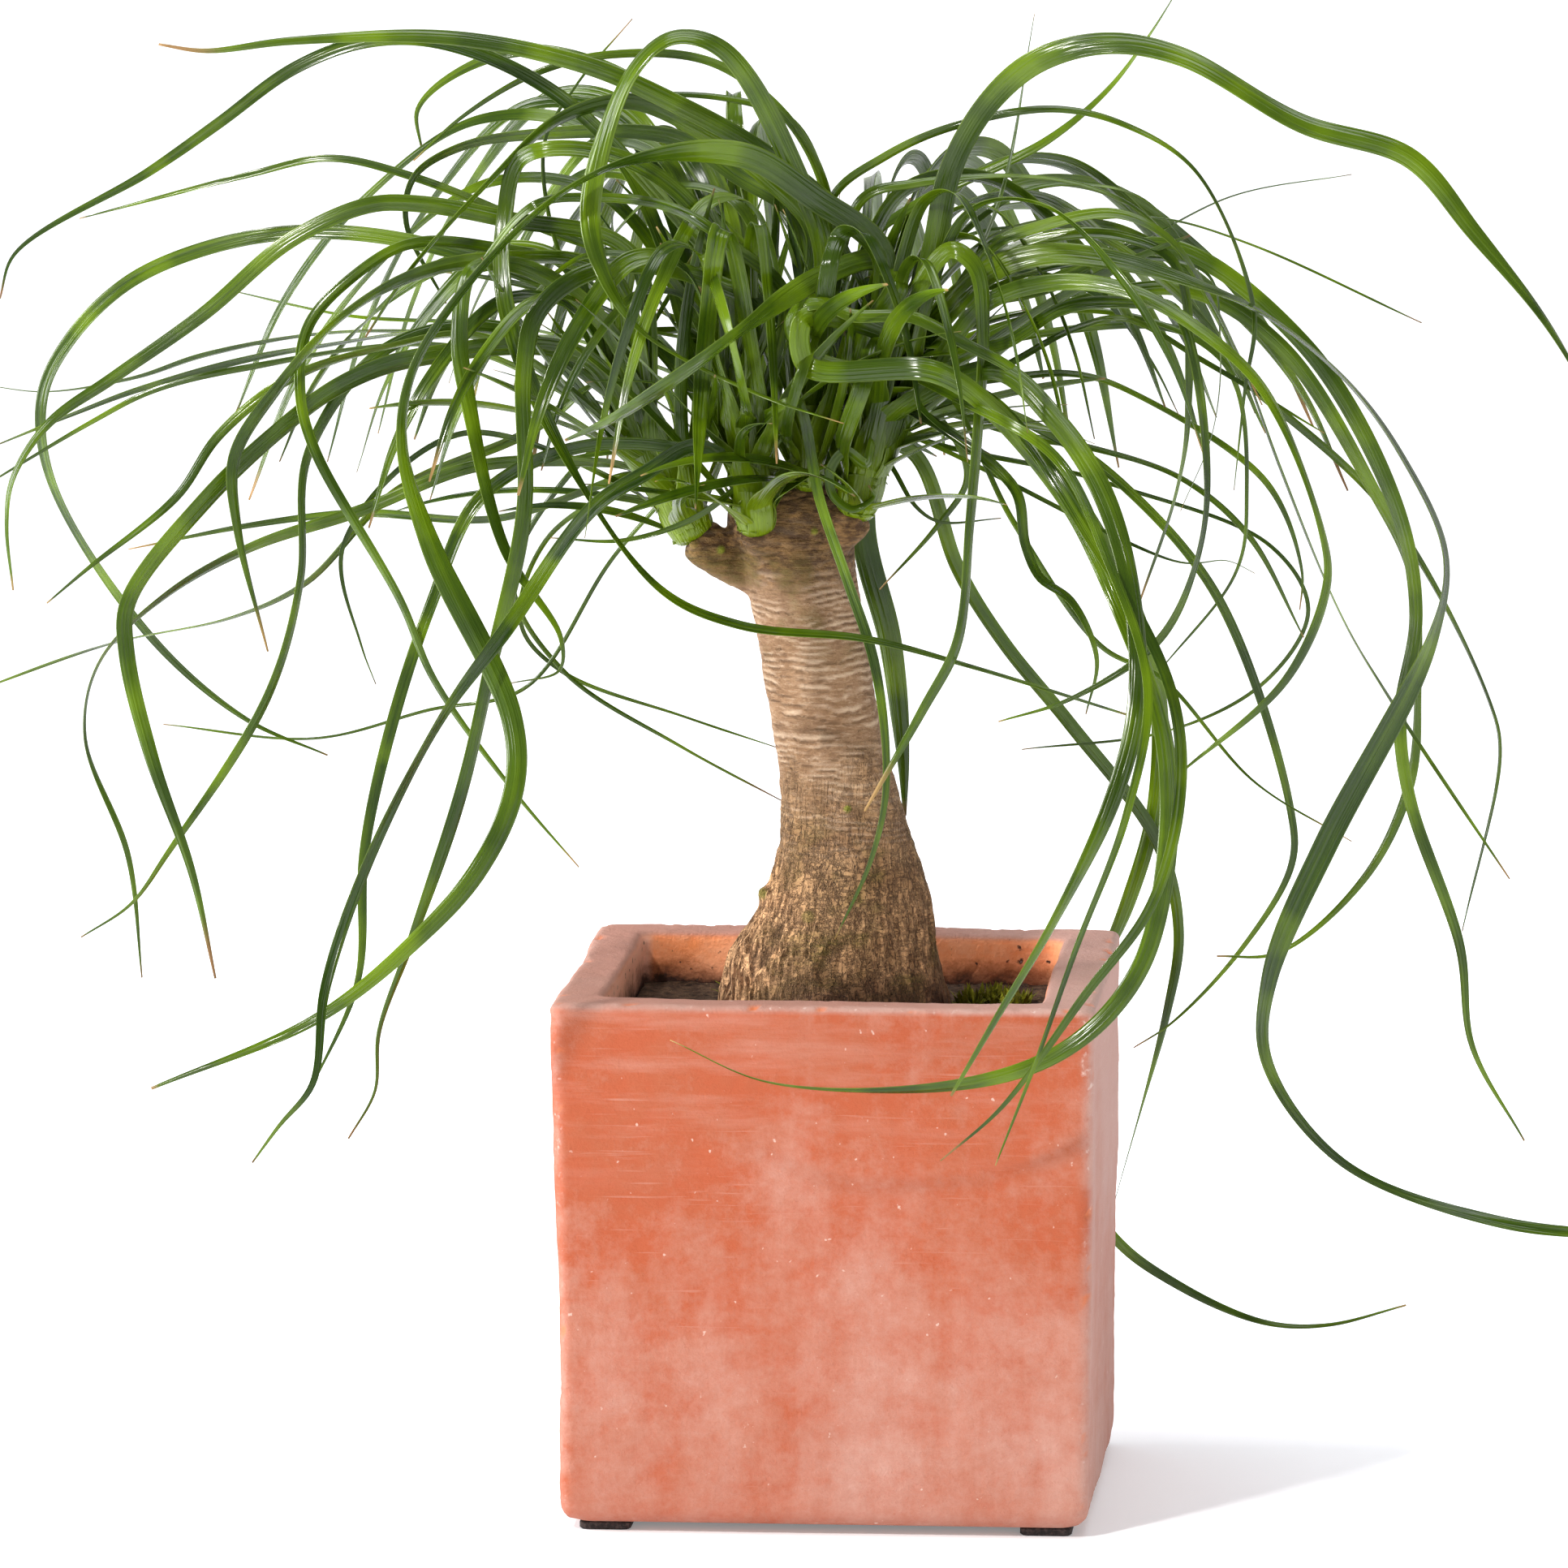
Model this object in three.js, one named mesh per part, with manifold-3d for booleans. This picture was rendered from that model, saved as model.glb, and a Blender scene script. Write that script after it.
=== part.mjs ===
// A ponytail palm in a square terracotta pot.
// Millimetres, +Z up, +X to the right and +Y away from the front view. The origin is on the
// floor, under the middle of the pot.
import * as THREE from 'three';
import { mergeVertices } from 'three/addons/utils/BufferGeometryUtils.js';
import Module from 'manifold-3d';

const wasm = await Module();
wasm.setup();

// ---------------------------------------------------------------- driving dimensions

// The place that the plant's outlines were drawn from: an eye in front of it, a little to the
// right and above. A leaf's line is given as it looks from there, on the upright plane y = 0.
const EYE = new THREE.Vector3(380, -5182.6, 992.3);

const PAD = { side: 24, height: 4, inset: 20, corner: 3, chamfer: 0.8 };

const POT = {
  topWidth: 250,
  bottomWidth: 245,
  height: 244,
  wallLeft: 22,
  wallRight: 27,
  wallFront: 24,
  floor: 20,
  edgeRadius: 6,
  footRadius: 9,
  footCorner: 8,
  rimRadius: 4,
  innerCorner: 8,
  floorBevel: 5,
  drainRadius: 11,
};
// How the inner edge of the rim rounds over: height from the rim, and how far out.
const LIP = [[-4, 0], [-1, 1.2], [1, 4]];
const DRAIN_SIDES = 20;
const POT_FOOT_Z = PAD.height;
const RIM_Z = POT_FOOT_Z + POT.height;

const SOIL = { top: 226, gap: 0.3, shoulder: 2 };

// Trunk outline: height, left edge, right edge, and half its depth from front to back.
const TRUNK = [
  [182, -26, 19, 22],
  [190, -45, 38, 41],
  [205, -54, 47, 49],
  [232, -57.5, 50, 52],
  [257, -52, 42.5, 46],
  [284, -36, 38.6, 37.5],
  [303, -31, 35, 33],
  [322, -28.7, 29, 29],
  [350, -30.5, 21, 26],
  [373, -34.4, 17, 25.5],
  [400, -39, 11.4, 25],
  [423, -44, 7.5, 25.5],
  [440, -49, 5, 27],
  [458, -56, 4, 28],
  [470, -55, 3, 25],
  [477, -46, -4, 17],
];
const TRUNK_SIDES = 18;
// Shallow flutes round the trunk: how many, how deep, and how they turn with height.
const FLUTES = [[3, 0.025, 1 / 40], [5, 0.015, -1 / 23]];
const STUB = { sides: 12, above: 4, narrowing: 0.95 };

// Heads: where each shoot sits on the trunk, which way it grows, its radius and length.
// Each stub of the trunk runs from `stem` to the shoot's seat.
const HEADS = {
  left: {
    seat: [-68, -6, 450], grows: [-0.42, -0.06, 0.9], radius: 13.5, length: 92,
    stem: [-40, -2, 428],
  },
  front: {
    seat: [-38, -29, 456], grows: [-0.1, -0.24, 0.96], radius: 11.5, length: 84,
    stem: [-30, -10, 440],
  },
  centre: {
    seat: [-16, -12, 474], grows: [0, -0.06, 1], radius: 9.5, length: 84,
    stem: [-20, -6, 455],
  },
  right: {
    seat: [6, -14, 462], grows: [0.22, -0.16, 0.96], radius: 12.5, length: 98,
    stem: [-12, -6, 440],
  },
  back_left: {
    seat: [-40, 17, 474], grows: [-0.2, 0.24, 0.95], radius: 12.5, length: 96,
    stem: [-32, 8, 450],
  },
  back_right: {
    seat: [-6, 22, 470], grows: [0.2, 0.28, 0.94], radius: 12, length: 98,
    stem: [-14, 10, 448],
  },
};
// A shoot's outline: how far along it, and its radius there as a share of its greatest.
const SHOOT = [[0, 0.45], [0.05, 0.85], [0.15, 1], [0.4, 0.96], [0.7, 0.8], [1, 0.42]];
const SHOOT_SIDES = 10;
const SEAT_GAP = 0.35;

// A blade's cross-section: a flat top and a keel below. A tip is never thinner than a thread.
const BLADE = { thickest: 1.4, thinnest: 0.8, thread: 1.5, fold: 0.35, twist: 0.7 };
const RINGS = { pitch: 68, bend: 34, fewest: 5, most: 12, fine: 12 };
const SPREAD = { rounds: 120, air: 2.6, step: 8, margin: 1.5, reach: 16, rooted: 70, wall: 6 };
const FIRST_BARE_ROW = 4;
// Slivers shorter than this, left where leaves cross, are closed up.
const SEAM = 0.04;

// ---------------------------------------------------------------- the leaves

// Each leaf: its head, its width as seen, how far it comes forward (minus) or goes back (plus),
// and its line from the shoot to the tip as [x, z] on the plane y = 0.
const LEAVES = [];
function leaf(head, width, reach, ...line) {
  LEAVES.push({ head, width, reach, line });
}

// Long leaves that arch over to the left.
leaf('right', 8, -70, [10, 530], [18, 585], [-6, 608], [-41, 635], [-80, 656], [-120, 673], [-185, 686],
  [-260, 684], [-300, 679], [-322, 682]);
leaf('front', 6, -40, [-42, 515], [-45, 560], [-74, 598], [-134, 659], [-187, 683], [-223, 684],
  [-258, 671], [-294, 645], [-327, 622], [-391, 583], [-398, 562]);
leaf('back_left', 3.5, 60, [-48, 520], [-60, 560], [-145, 598], [-204, 621], [-242, 629], [-280, 621],
  [-360, 600]);
leaf('left', 6.4, -60, [-84, 515], [-100, 585], [-159, 601], [-201, 608], [-224, 607], [-261, 590],
  [-301, 556], [-345, 525], [-376, 503], [-393, 477], [-396, 455], [-393, 424]);
leaf('left', 6, 40, [-92, 520], [-120, 560], [-150, 575], [-209, 591], [-258, 594], [-301, 586],
  [-337, 570], [-364, 544], [-378, 516], [-374, 476], [-328, 403], [-283, 364], [-244, 347]);
leaf('left', 4.5, -110, [-90, 525], [-110, 570], [-169, 588], [-204, 589], [-230, 574], [-252, 550],
  [-256, 518], [-249, 491], [-209, 420], [-194, 384], [-156, 331], [-125, 295]);
leaf('left', 8, -130, [-92, 510], [-120, 535], [-201, 535], [-237, 522], [-270, 497], [-302, 466],
  [-338, 419], [-339, 394], [-328, 346], [-309, 291], [-298, 240]);
leaf('left', 8, -95, [-90, 530], [-110, 575], [-169, 581], [-204, 573], [-237, 553], [-266, 521],
  [-287, 488], [-286, 455], [-272, 396]);
leaf('back_left', 4, 110, [-60, 515], [-140, 545], [-237, 547], [-301, 536], [-334, 525], [-377, 518],
  [-405, 521]);
leaf('left', 4, 20, [-100, 520], [-150, 545], [-253, 540], [-329, 521], [-366, 507], [-412, 488]);
leaf('left', 3, -30, [-110, 515], [-180, 540], [-282, 530], [-326, 519], [-355, 504], [-415, 468]);
leaf('left', 4.5, -75, [-104, 510], [-170, 545], [-215, 540], [-261, 525], [-295, 498], [-315, 469],
  [-357, 435], [-377, 418]);
leaf('back_left', 1.8, 150, [-70, 525], [-150, 550], [-233, 555], [-291, 567]);

// Loops and short arches over the left half of the crown.
leaf('back_left', 6.5, 90, [-44, 530], [-55, 610], [-90, 660], [-144, 680], [-180, 670], [-200, 652],
  [-198, 633]);
leaf('centre', 4.5, -30, [-14, 530], [-5, 590], [-20, 640], [-60, 674], [-110, 678], [-145, 669],
  [-180, 648], [-202, 628]);
leaf('centre', 7, 45, [-16, 540], [-20, 600], [-50, 622], [-80, 640], [-145, 641], [-180, 635],
  [-202, 621], [-206, 599], [-187, 561]);
leaf('centre', 8.5, -60, [-12, 535], [-13, 595], [-35, 621], [-70, 645], [-102, 656], [-134, 647],
  [-166, 618], [-204, 576], [-225, 545]);
leaf('right', 9.5, -215, [14, 530], [18, 585], [-14, 612], [-46, 631], [-99, 628], [-138, 608],
  [-184, 559], [-203, 526], [-207, 494], [-194, 447], [-157, 366], [-156, 331], [-173, 293],
  [-203, 259], [-249, 222], [-329, 187]);
leaf('left', 7, -120, [-86, 510], [-120, 560], [-155, 580], [-175, 577], [-181, 546], [-176, 513],
  [-159, 445], [-133, 404], [-134, 388], [-157, 382]);
leaf('front', 7, -90, [-46, 515], [-60, 590], [-100, 628], [-150, 630], [-159, 601], [-159, 562],
  [-134, 494], [-87, 427], [-49, 410], [11, 404], [62, 391], [136, 369]);
leaf('centre', 8.5, -130, [-13, 530], [-9, 581], [-21, 621], [-56, 681], [-80, 687], [-100, 670],
  [-119, 607], [-112, 575], [-93, 548], [-38, 519], [0, 506]);
leaf('back_right', 3.3, 40, [2, 540], [-10, 620], [-25, 648], [-54, 658], [-105, 658], [-140, 645]);
leaf('front', 5.8, -60, [-38, 515], [-28, 566], [-50, 587], [-80, 606], [-118, 611], [-146, 607],
  [-178, 570]);
leaf('front', 7.5, -150, [-41, 510], [-38, 558], [-61, 572], [-93, 580], [-123, 575], [-144, 557],
  [-150, 530], [-150, 463], [-166, 390], [-180, 331], [-205, 257], [-220, 215], [-222, 187],
  [-235, 164]);
leaf('right', 9.6, -85, [4, 510], [10, 545], [25, 572], [16, 583], [-9, 576], [-72, 531], [-109, 507],
  [-131, 497]);
leaf('front', 6.5, -285, [-47, 500], [-70, 495], [-93, 482], [-118, 465], [-159, 408], [-190, 366],
  [-226, 295], [-246, 235], [-252, 190], [-268, 170], [-281, 152]);
leaf('front', 2.5, -35, [-30, 499], [-45, 481], [-70, 461], [-104, 450], [-138, 451]);
leaf('front', 4.5, -75, [-28, 499], [-11, 470], [2, 432], [15, 391], [20, 335], [13, 300], [-4, 262]);
leaf('back_left', 1.6, 20, [-60, 540], [-120, 560], [-141, 633], [-126, 663], [-99, 695]);

// Leaves that arch over to the right.
leaf('right', 9, -90, [20, 515], [35, 560], [43, 592], [50, 624], [67, 655], [90, 676], [122, 685],
  [158, 679], [214, 648], [264, 632], [294, 598], [328, 556], [350, 518], [362, 490]);
leaf('centre', 3.2, -50, [-12, 540], [-6, 611], [19, 631], [50, 645], [97, 654], [131, 647],
  [165, 625], [192, 560], [188, 524], [183, 476]);
leaf('back_right', 4, 20, [2, 540], [10, 589], [32, 608], [93, 638], [122, 662], [142, 688], [163, 722]);
leaf('right', 2, -10, [26, 520], [60, 580], [75, 618], [89, 698]);
leaf('right', 5, -60, [30, 520], [68, 588], [90, 598], [126, 605], [151, 594], [169, 569], [187, 533],
  [204, 487], [234, 416], [257, 377], [313, 294]);
leaf('right', 10, -110, [28, 510], [65, 575], [90, 585], [125, 583], [169, 570], [198, 557],
  [234, 528], [260, 493], [281, 446], [275, 407], [227, 310], [200, 245], [199, 206], [235, 158],
  [309, 131], [375, 126], [422, 127]);
leaf('right', 7, -130, [30, 515], [64, 561], [98, 573], [135, 569], [169, 550], [198, 522],
  [225, 456], [227, 431], [208, 387], [159, 343]);
leaf('right', 5, -40, [24, 525], [68, 581], [98, 594], [131, 594], [155, 581], [161, 513], [156, 476],
  [138, 420]);
leaf('right', 5, -100, [32, 510], [73, 543], [104, 561], [140, 563], [155, 560], [170, 482],
  [164, 438], [147, 404], [107, 377], [73, 366]);
leaf('right', 3, 30, [20, 530], [60, 575], [117, 568], [144, 536], [157, 511]);
leaf('right', 3.2, 15, [30, 510], [77, 534], [108, 551], [131, 556], [169, 536], [225, 503]);
leaf('back_right', 3.6, 60, [14, 520], [82, 529], [111, 530], [135, 522], [198, 480], [215, 438],
  [214, 420]);
leaf('back_right', 4, 85, [14, 510], [90, 500], [115, 496], [158, 482], [190, 455], [216, 407]);
leaf('back_right', 2, 120, [12, 530], [50, 590], [100, 600], [147, 603], [190, 591], [270, 555]);
leaf('back_right', 2.5, 140, [8, 525], [60, 570], [131, 589], [183, 614], [237, 624]);
leaf('centre', 4, -20, [-10, 540], [8, 611], [34, 619], [80, 623], [115, 618], [142, 604], [171, 565],
  [196, 516]);
leaf('back_right', 2.5, 70, [10, 540], [64, 603], [93, 618], [137, 614], [158, 593], [176, 556]);
leaf('right', 2, -30, [40, 520], [100, 580], [169, 578], [176, 546], [173, 504], [158, 466]);
leaf('back_right', 2.2, 50, [20, 515], [110, 560], [178, 536], [189, 469], [184, 437], [148, 390]);
leaf('back_right', 6, 35, [16, 510], [100, 560], [160, 570], [205, 543], [248, 476], [266, 437],
  [269, 380], [266, 339], [246, 295], [205, 258], [176, 256]);
leaf('back_right', 3.2, 90, [18, 515], [100, 550], [160, 550], [194, 522], [254, 467], [303, 377],
  [308, 353], [291, 269]);
leaf('back_right', 6.5, -20, [14, 515], [90, 570], [150, 590], [215, 545], [258, 470], [268, 418],
  [261, 370], [266, 331], [290, 262], [296, 215], [321, 170]);
leaf('back_right', 4, 40, [14, 500], [60, 515], [100, 500], [133, 476], [176, 425], [210, 327],
  [211, 300], [188, 260], [155, 224], [137, 212]);

// Leaves that fall in front of the pot, or behind it, on the right.
leaf('right', 8.5, -175, [22, 515], [40, 550], [0, 555], [-18, 555], [-17, 533], [42, 531], [67, 516],
  [109, 465], [137, 404], [151, 360], [153, 310], [140, 250], [108, 213], [60, 194], [-34, 193],
  [-82, 213]);
leaf('right', 8, -225, [30, 505], [71, 532], [100, 508], [122, 474], [136, 425], [138, 374],
  [126, 327], [99, 270], [73, 226], [51, 188]);
leaf('right', 4, -262, [34, 500], [60, 515], [100, 490], [125, 440], [143, 382], [133, 322],
  [110, 260], [90, 202], [72, 155]);
leaf('right', 5, -195, [36, 505], [65, 520], [118, 450], [154, 380], [158, 330], [145, 280],
  [114, 237], [75, 183], [46, 157]);
leaf('back_right', 6, 165, [8, 505], [34, 491], [54, 438], [76, 403], [107, 365], [148, 310],
  [158, 268], [153, 230], [128, 137]);
leaf('back_right', 7, 200, [12, 505], [60, 515], [110, 470], [146, 390], [147, 330], [134, 280],
  [112, 225], [103, 170], [128, 122], [157, 100], [199, 82], [229, 81], [266, 91]);
leaf('right', 2, -40, [30, 510], [80, 460], [121, 402], [150, 387], [193, 339], [239, 311]);
leaf('back_right', 2, 100, [20, 510], [120, 480], [200, 450], [218, 420], [199, 387], [155, 363],
  [84, 353]);
leaf('right', 5, -75, [18, 500], [50, 510], [80, 476], [85, 450], [92, 434], [107, 423], [119, 396],
  [114, 370]);
leaf('right', 4, -60, [20, 510], [60, 540], [46, 532], [34, 519], [45, 505], [69, 492]);
leaf('right', 7.5, -105, [16, 510], [30, 560], [50, 588], [62, 580], [66, 548], [64, 508], [60, 460],
  [54, 403], [38, 372], [10, 323]);
leaf('back_right', 1.8, 30, [20, 500], [70, 470], [131, 437], [158, 442], [180, 443], [193, 437]);

// Leaves that hang on the left, and thin ones that pass behind the trunk.
leaf('left', 4, 15, [-98, 500], [-150, 500], [-212, 472], [-254, 429], [-290, 412], [-348, 399],
  [-414, 375]);
leaf('left', 5, -50, [-104, 500], [-170, 485], [-228, 463], [-280, 445], [-320, 422], [-352, 390],
  [-359, 355], [-339, 298], [-333, 240]);
leaf('left', 5, -85, [-100, 515], [-160, 550], [-215, 540], [-252, 490], [-256, 430], [-272, 375],
  [-320, 300], [-338, 275], [-362, 259]);
leaf('left', 2.2, -20, [-100, 495], [-180, 500], [-236, 447], [-228, 400], [-221, 381]);
leaf('front', 5, -120, [-50, 505], [-120, 495], [-170, 471], [-194, 420], [-214, 360], [-227, 300],
  [-230, 240], [-253, 187]);
leaf('back_left', 1.6, 70, [-64, 500], [-110, 440], [-150, 380], [-196, 369], [-250, 355], [-322, 361]);
leaf('left', 3, 50, [-94, 490], [-164, 460], [-228, 462], [-279, 456], [-338, 444]);
leaf('back_left', 2.2, 90, [-66, 505], [-130, 480], [-156, 430], [-132, 388], [-77, 353], [-28, 327]);
leaf('back_left', 1.8, 110, [-70, 500], [-140, 450], [-152, 410], [-133, 388], [-75, 367], [-32, 353]);
leaf('back_right', 10, 70, [-2, 505], [4, 480], [10, 453], [22, 403], [28, 350], [29, 321]);
leaf('back_right', 3, 50, [14, 505], [52, 500], [58, 480], [44, 458], [17, 428]);
leaf('back_right', 2.5, 25, [16, 500], [25, 482], [34, 467], [45, 460], [74, 462]);

// Leaves that the front view hides, and the young ones at each shoot's heart: a few for each
// head, with a seeded draw. Each row is head, number, first and last azimuth in degrees (0 is
// +X, 90 is +Y), shortest and longest reach, and how high they rise above the shoot.
const FILLERS = [
  ['left', 5, 125, 250, 90, 210, 75],
  ['front', 6, 165, 300, 70, 180, 80],
  ['centre', 4, 150, 400, 60, 170, 80],
  ['right', 6, -75, 20, 80, 190, 85],
  ['back_left', 13, 84, 176, 130, 262, 103],
  ['back_right', 13, 4, 96, 130, 262, 80],
];
// The ranges that the seeded draws are made in. A turn tips a blade about its own length, in
// radians, and shares are of a leaf's place in its row, of the rise and of the reach.
const TURNS = { traced: [0.25, 0.5], hidden: [0.2, 0.7], narrow: 5, more: 0.08 };
const HIDDEN = { place: [0.15, 0.85], rise: [0.7, 1.15], drop: [0.1, 0.35], width: [5, 8] };
const HEART = { leaves: 3, height: [45, 90], width: [4, 6.5], reach: [18, 55] };
const SEED = 20261;

// ---------------------------------------------------------------- small helpers

// A repeatable draw between low and high.
function dice(seed) {
  let state = seed;
  return (low, high) => {
    state = (state * 16807) % 2147483647;
    return low + ((high - low) * (state - 1)) / 2147483646;
  };
}

// The point at depth y that looks as if it lay at [x, z] on the plane y = 0.
function seen(x, z, y) {
  const onPlane = new THREE.Vector3(x, 0, z);
  return onPlane.sub(EYE).multiplyScalar((y - EYE.y) / -EYE.y).add(EYE);
}

// The reverse: where a point looks as if it lay on the plane y = 0.
function asSeen(point) {
  const t = -EYE.y / (point.y - EYE.y);
  return [EYE.x + (point.x - EYE.x) * t, EYE.z + (point.z - EYE.z) * t];
}

// A closed solid through rings that all have the same number of points, counterclockwise as
// seen against the run of the rings. A blade's two faces are split into triangles alike, so that
// they stay apart where it twists.
function loft(rings, isBlade = false) {
  const sides = rings[0].length;
  const vertices = [];
  const triangles = [];
  for (const ring of rings) {
    for (const point of ring) vertices.push(point.x, point.y, point.z);
  }
  for (let r = 0; r + 1 < rings.length; r += 1) {
    for (let s = 0; s < sides; s += 1) {
      const a = r * sides + s;
      const b = r * sides + ((s + 1) % sides);
      if (isBlade && s > 0) triangles.push(a, b, a + sides, b, b + sides, a + sides);
      else triangles.push(a, b, b + sides, a, b + sides, a + sides);
    }
  }
  const last = (rings.length - 1) * sides;
  for (let s = 1; s + 1 < sides; s += 1) {
    triangles.push(0, s + 1, s);
    triangles.push(last, last + s, last + s + 1);
  }
  return manifold(vertices, triangles);
}

function manifold(vertices, triangles) {
  return new wasm.Manifold(new wasm.Mesh({
    numProp: 3,
    vertProperties: Float32Array.from(vertices),
    triVerts: Uint32Array.from(triangles),
  }));
}

function fromGeometry(geometry) {
  geometry.deleteAttribute('normal');
  geometry.deleteAttribute('uv');
  const merged = mergeVertices(geometry, 1e-4);
  return manifold(merged.attributes.position.array, merged.index.array);
}

// A rounded rectangle at one height, as a ring of points.
function roundedRing(left, right, front, back, radius, z, arc = 4) {
  const ring = [];
  const corners = [[right, back, 0], [left, back, 1], [left, front, 2], [right, front, 3]];
  for (const [x, y, quarter] of corners) {
    const cx = x - Math.sign(x) * radius;
    const cy = y - Math.sign(y) * radius;
    for (let k = 0; k <= arc; k += 1) {
      const angle = (quarter + k / arc) * (Math.PI / 2);
      ring.push(new THREE.Vector3(cx + radius * Math.cos(angle), cy + radius * Math.sin(angle), z));
    }
  }
  return ring;
}

// ---------------------------------------------------------------- pot, pads and soil

function outerRing(z, inset, radius) {
  const along = (z - POT_FOOT_Z) / POT.height;
  const half = (POT.bottomWidth + (POT.topWidth - POT.bottomWidth) * along) / 2 - inset;
  return roundedRing(-half, half, -half, half, radius, z);
}

function cavityRing(z, inset) {
  const half = POT.topWidth / 2;
  const left = -half + POT.wallLeft + inset;
  const right = half - POT.wallRight - inset;
  const side = half - POT.wallFront - inset;
  return roundedRing(left, right, -side, side, POT.innerCorner, z);
}

function makePot() {
  const { footRadius, footCorner, rimRadius, edgeRadius, floor, floorBevel, drainRadius } = POT;
  const outer = [];
  for (let k = 0; k <= 3; k += 1) {
    const angle = (k / 3) * (Math.PI / 2);
    const inset = footRadius * (1 - Math.sin(angle));
    const z = POT_FOOT_Z + footRadius * (1 - Math.cos(angle));
    outer.push(outerRing(z, inset, footCorner));
  }
  for (const part of [0.35, 0.7]) {
    outer.push(outerRing(POT_FOOT_Z + POT.height * part, 0, edgeRadius));
  }
  for (let k = 0; k <= 2; k += 1) {
    const angle = (k / 2) * (Math.PI / 2);
    const inset = rimRadius * (1 - Math.cos(angle));
    outer.push(outerRing(RIM_Z - rimRadius * (1 - Math.sin(angle)), inset, edgeRadius));
  }
  const cavity = [
    cavityRing(POT_FOOT_Z + floor, floorBevel),
    cavityRing(POT_FOOT_Z + floor + floorBevel, 0),
    ...LIP.map(([height, out]) => cavityRing(RIM_Z + height, -out)),
  ];
  const drain = new THREE.CylinderGeometry(drainRadius, drainRadius, floor + 2, DRAIN_SIDES);
  drain.rotateX(Math.PI / 2);
  drain.translate(0, 0, POT_FOOT_Z + floor / 2);
  return loft(outer).subtract(loft(cavity)).subtract(fromGeometry(drain));
}

function makePad(x, y) {
  const half = PAD.side / 2;
  const rings = [];
  const { height, chamfer, corner } = PAD;
  for (const [z, inset] of [[0, chamfer], [chamfer, 0], [height - chamfer, 0], [height, chamfer]]) {
    const edge = half - inset;
    rings.push(roundedRing(-edge, edge, -edge, edge, corner, z, 2));
  }
  return loft(rings).translate(x, y, 0);
}

function makeSoil(buriedTrunk) {
  const bottom = POT_FOOT_Z + POT.floor;
  const block = loft([
    cavityRing(bottom, POT.floorBevel + SOIL.gap),
    cavityRing(bottom + POT.floorBevel, SOIL.gap),
    cavityRing(SOIL.top - SOIL.shoulder, SOIL.gap),
    cavityRing(SOIL.top, SOIL.shoulder),
  ]);
  return block.subtract(buriedTrunk);
}

// ---------------------------------------------------------------- trunk and shoots

function trunkRing([z, left, right, depth], grow) {
  const ring = [];
  const middle = (left + right) / 2;
  const half = (right - left) / 2 + grow;
  for (let s = 0; s < TRUNK_SIDES; s += 1) {
    const angle = (s / TRUNK_SIDES) * 2 * Math.PI;
    const flute = FLUTES.reduce((sum, [n, deep, twist]) => sum + deep * Math.cos(n * angle + z * twist), 1);
    const x = middle + half * Math.cos(angle) * flute;
    ring.push(new THREE.Vector3(x, (depth + grow) * Math.sin(angle) * flute, z));
  }
  return ring;
}

function trunkBody(grow = 0) {
  const rings = TRUNK.map((row) => trunkRing(row, grow));
  if (grow > 0) for (const point of rings[0]) point.z -= grow;
  return loft(rings);
}

// A round solid along a line from one point to another, with a radius at each station.
function roundSolid(from, to, stations, sides) {
  const axis = to.clone().sub(from);
  const length = axis.length();
  const profile = [new THREE.Vector2(0, stations[0][0] * length)];
  for (const [along, radius] of stations) profile.push(new THREE.Vector2(radius, along * length));
  profile.push(new THREE.Vector2(0, stations[stations.length - 1][0] * length));
  const geometry = new THREE.LatheGeometry(profile, sides);
  geometry.applyQuaternion(new THREE.Quaternion().setFromUnitVectors(
    new THREE.Vector3(0, 1, 0), axis.normalize()));
  geometry.translate(from.x, from.y, from.z);
  return fromGeometry(geometry);
}

function shoot(head, grow = 0) {
  const from = new THREE.Vector3(...head.seat);
  const axis = new THREE.Vector3(...head.grows).normalize();
  const to = from.clone().addScaledVector(axis, head.length);
  from.addScaledVector(axis, -grow);
  const stations = SHOOT.map(([along, share]) => [along, share * head.radius + grow]);
  return roundSolid(from, to, stations, SHOOT_SIDES);
}

function makeTrunk() {
  let trunk = trunkBody();
  for (const head of Object.values(HEADS)) {
    const from = new THREE.Vector3(...head.stem);
    const to = new THREE.Vector3(...head.seat);
    to.addScaledVector(new THREE.Vector3(...head.grows), STUB.above);
    const stations = [[0, head.radius], [1, head.radius * STUB.narrowing]];
    trunk = trunk.add(roundSolid(from, to, stations, STUB.sides));
  }
  for (const head of Object.values(HEADS)) trunk = trunk.subtract(shoot(head, SEAT_GAP));
  return trunk;
}

// ---------------------------------------------------------------- leaf lines

// A table's value at a place along it, with straight lines between its rows.
function between(table, along) {
  let k = 1;
  while (k + 1 < table.length && table[k][0] < along) k += 1;
  const [a, low] = table[k - 1];
  const [b, high] = table[k];
  return low + ((high - low) * (along - a)) / (b - a);
}

// A place in a shoot: how far along it, and how far out from its middle line.
function inShoot(head, along, outward, away) {
  const axis = new THREE.Vector3(...head.grows).normalize();
  return new THREE.Vector3(...head.seat).addScaledVector(axis, along * head.length)
    .addScaledVector(outward, away);
}

// The depth of each point of a drawn leaf: most of the way out is gained early, before it hangs.
function drawnLine({ head, reach, line }) {
  const start = inShoot(HEADS[head], 0.7, new THREE.Vector3(), 0);
  let [px, pz] = asSeen(start);
  let travelled = 0;
  const lengths = line.map(([x, z]) => {
    travelled += Math.hypot(x - px, z - pz);
    [px, pz] = [x, z];
    return travelled;
  });
  return line.map(([x, z], k) => {
    const along = lengths[k] / travelled;
    return { x, z, y: start.y + (reach - start.y) * (1 - (1 - along) ** 1.6) };
  });
}

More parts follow.
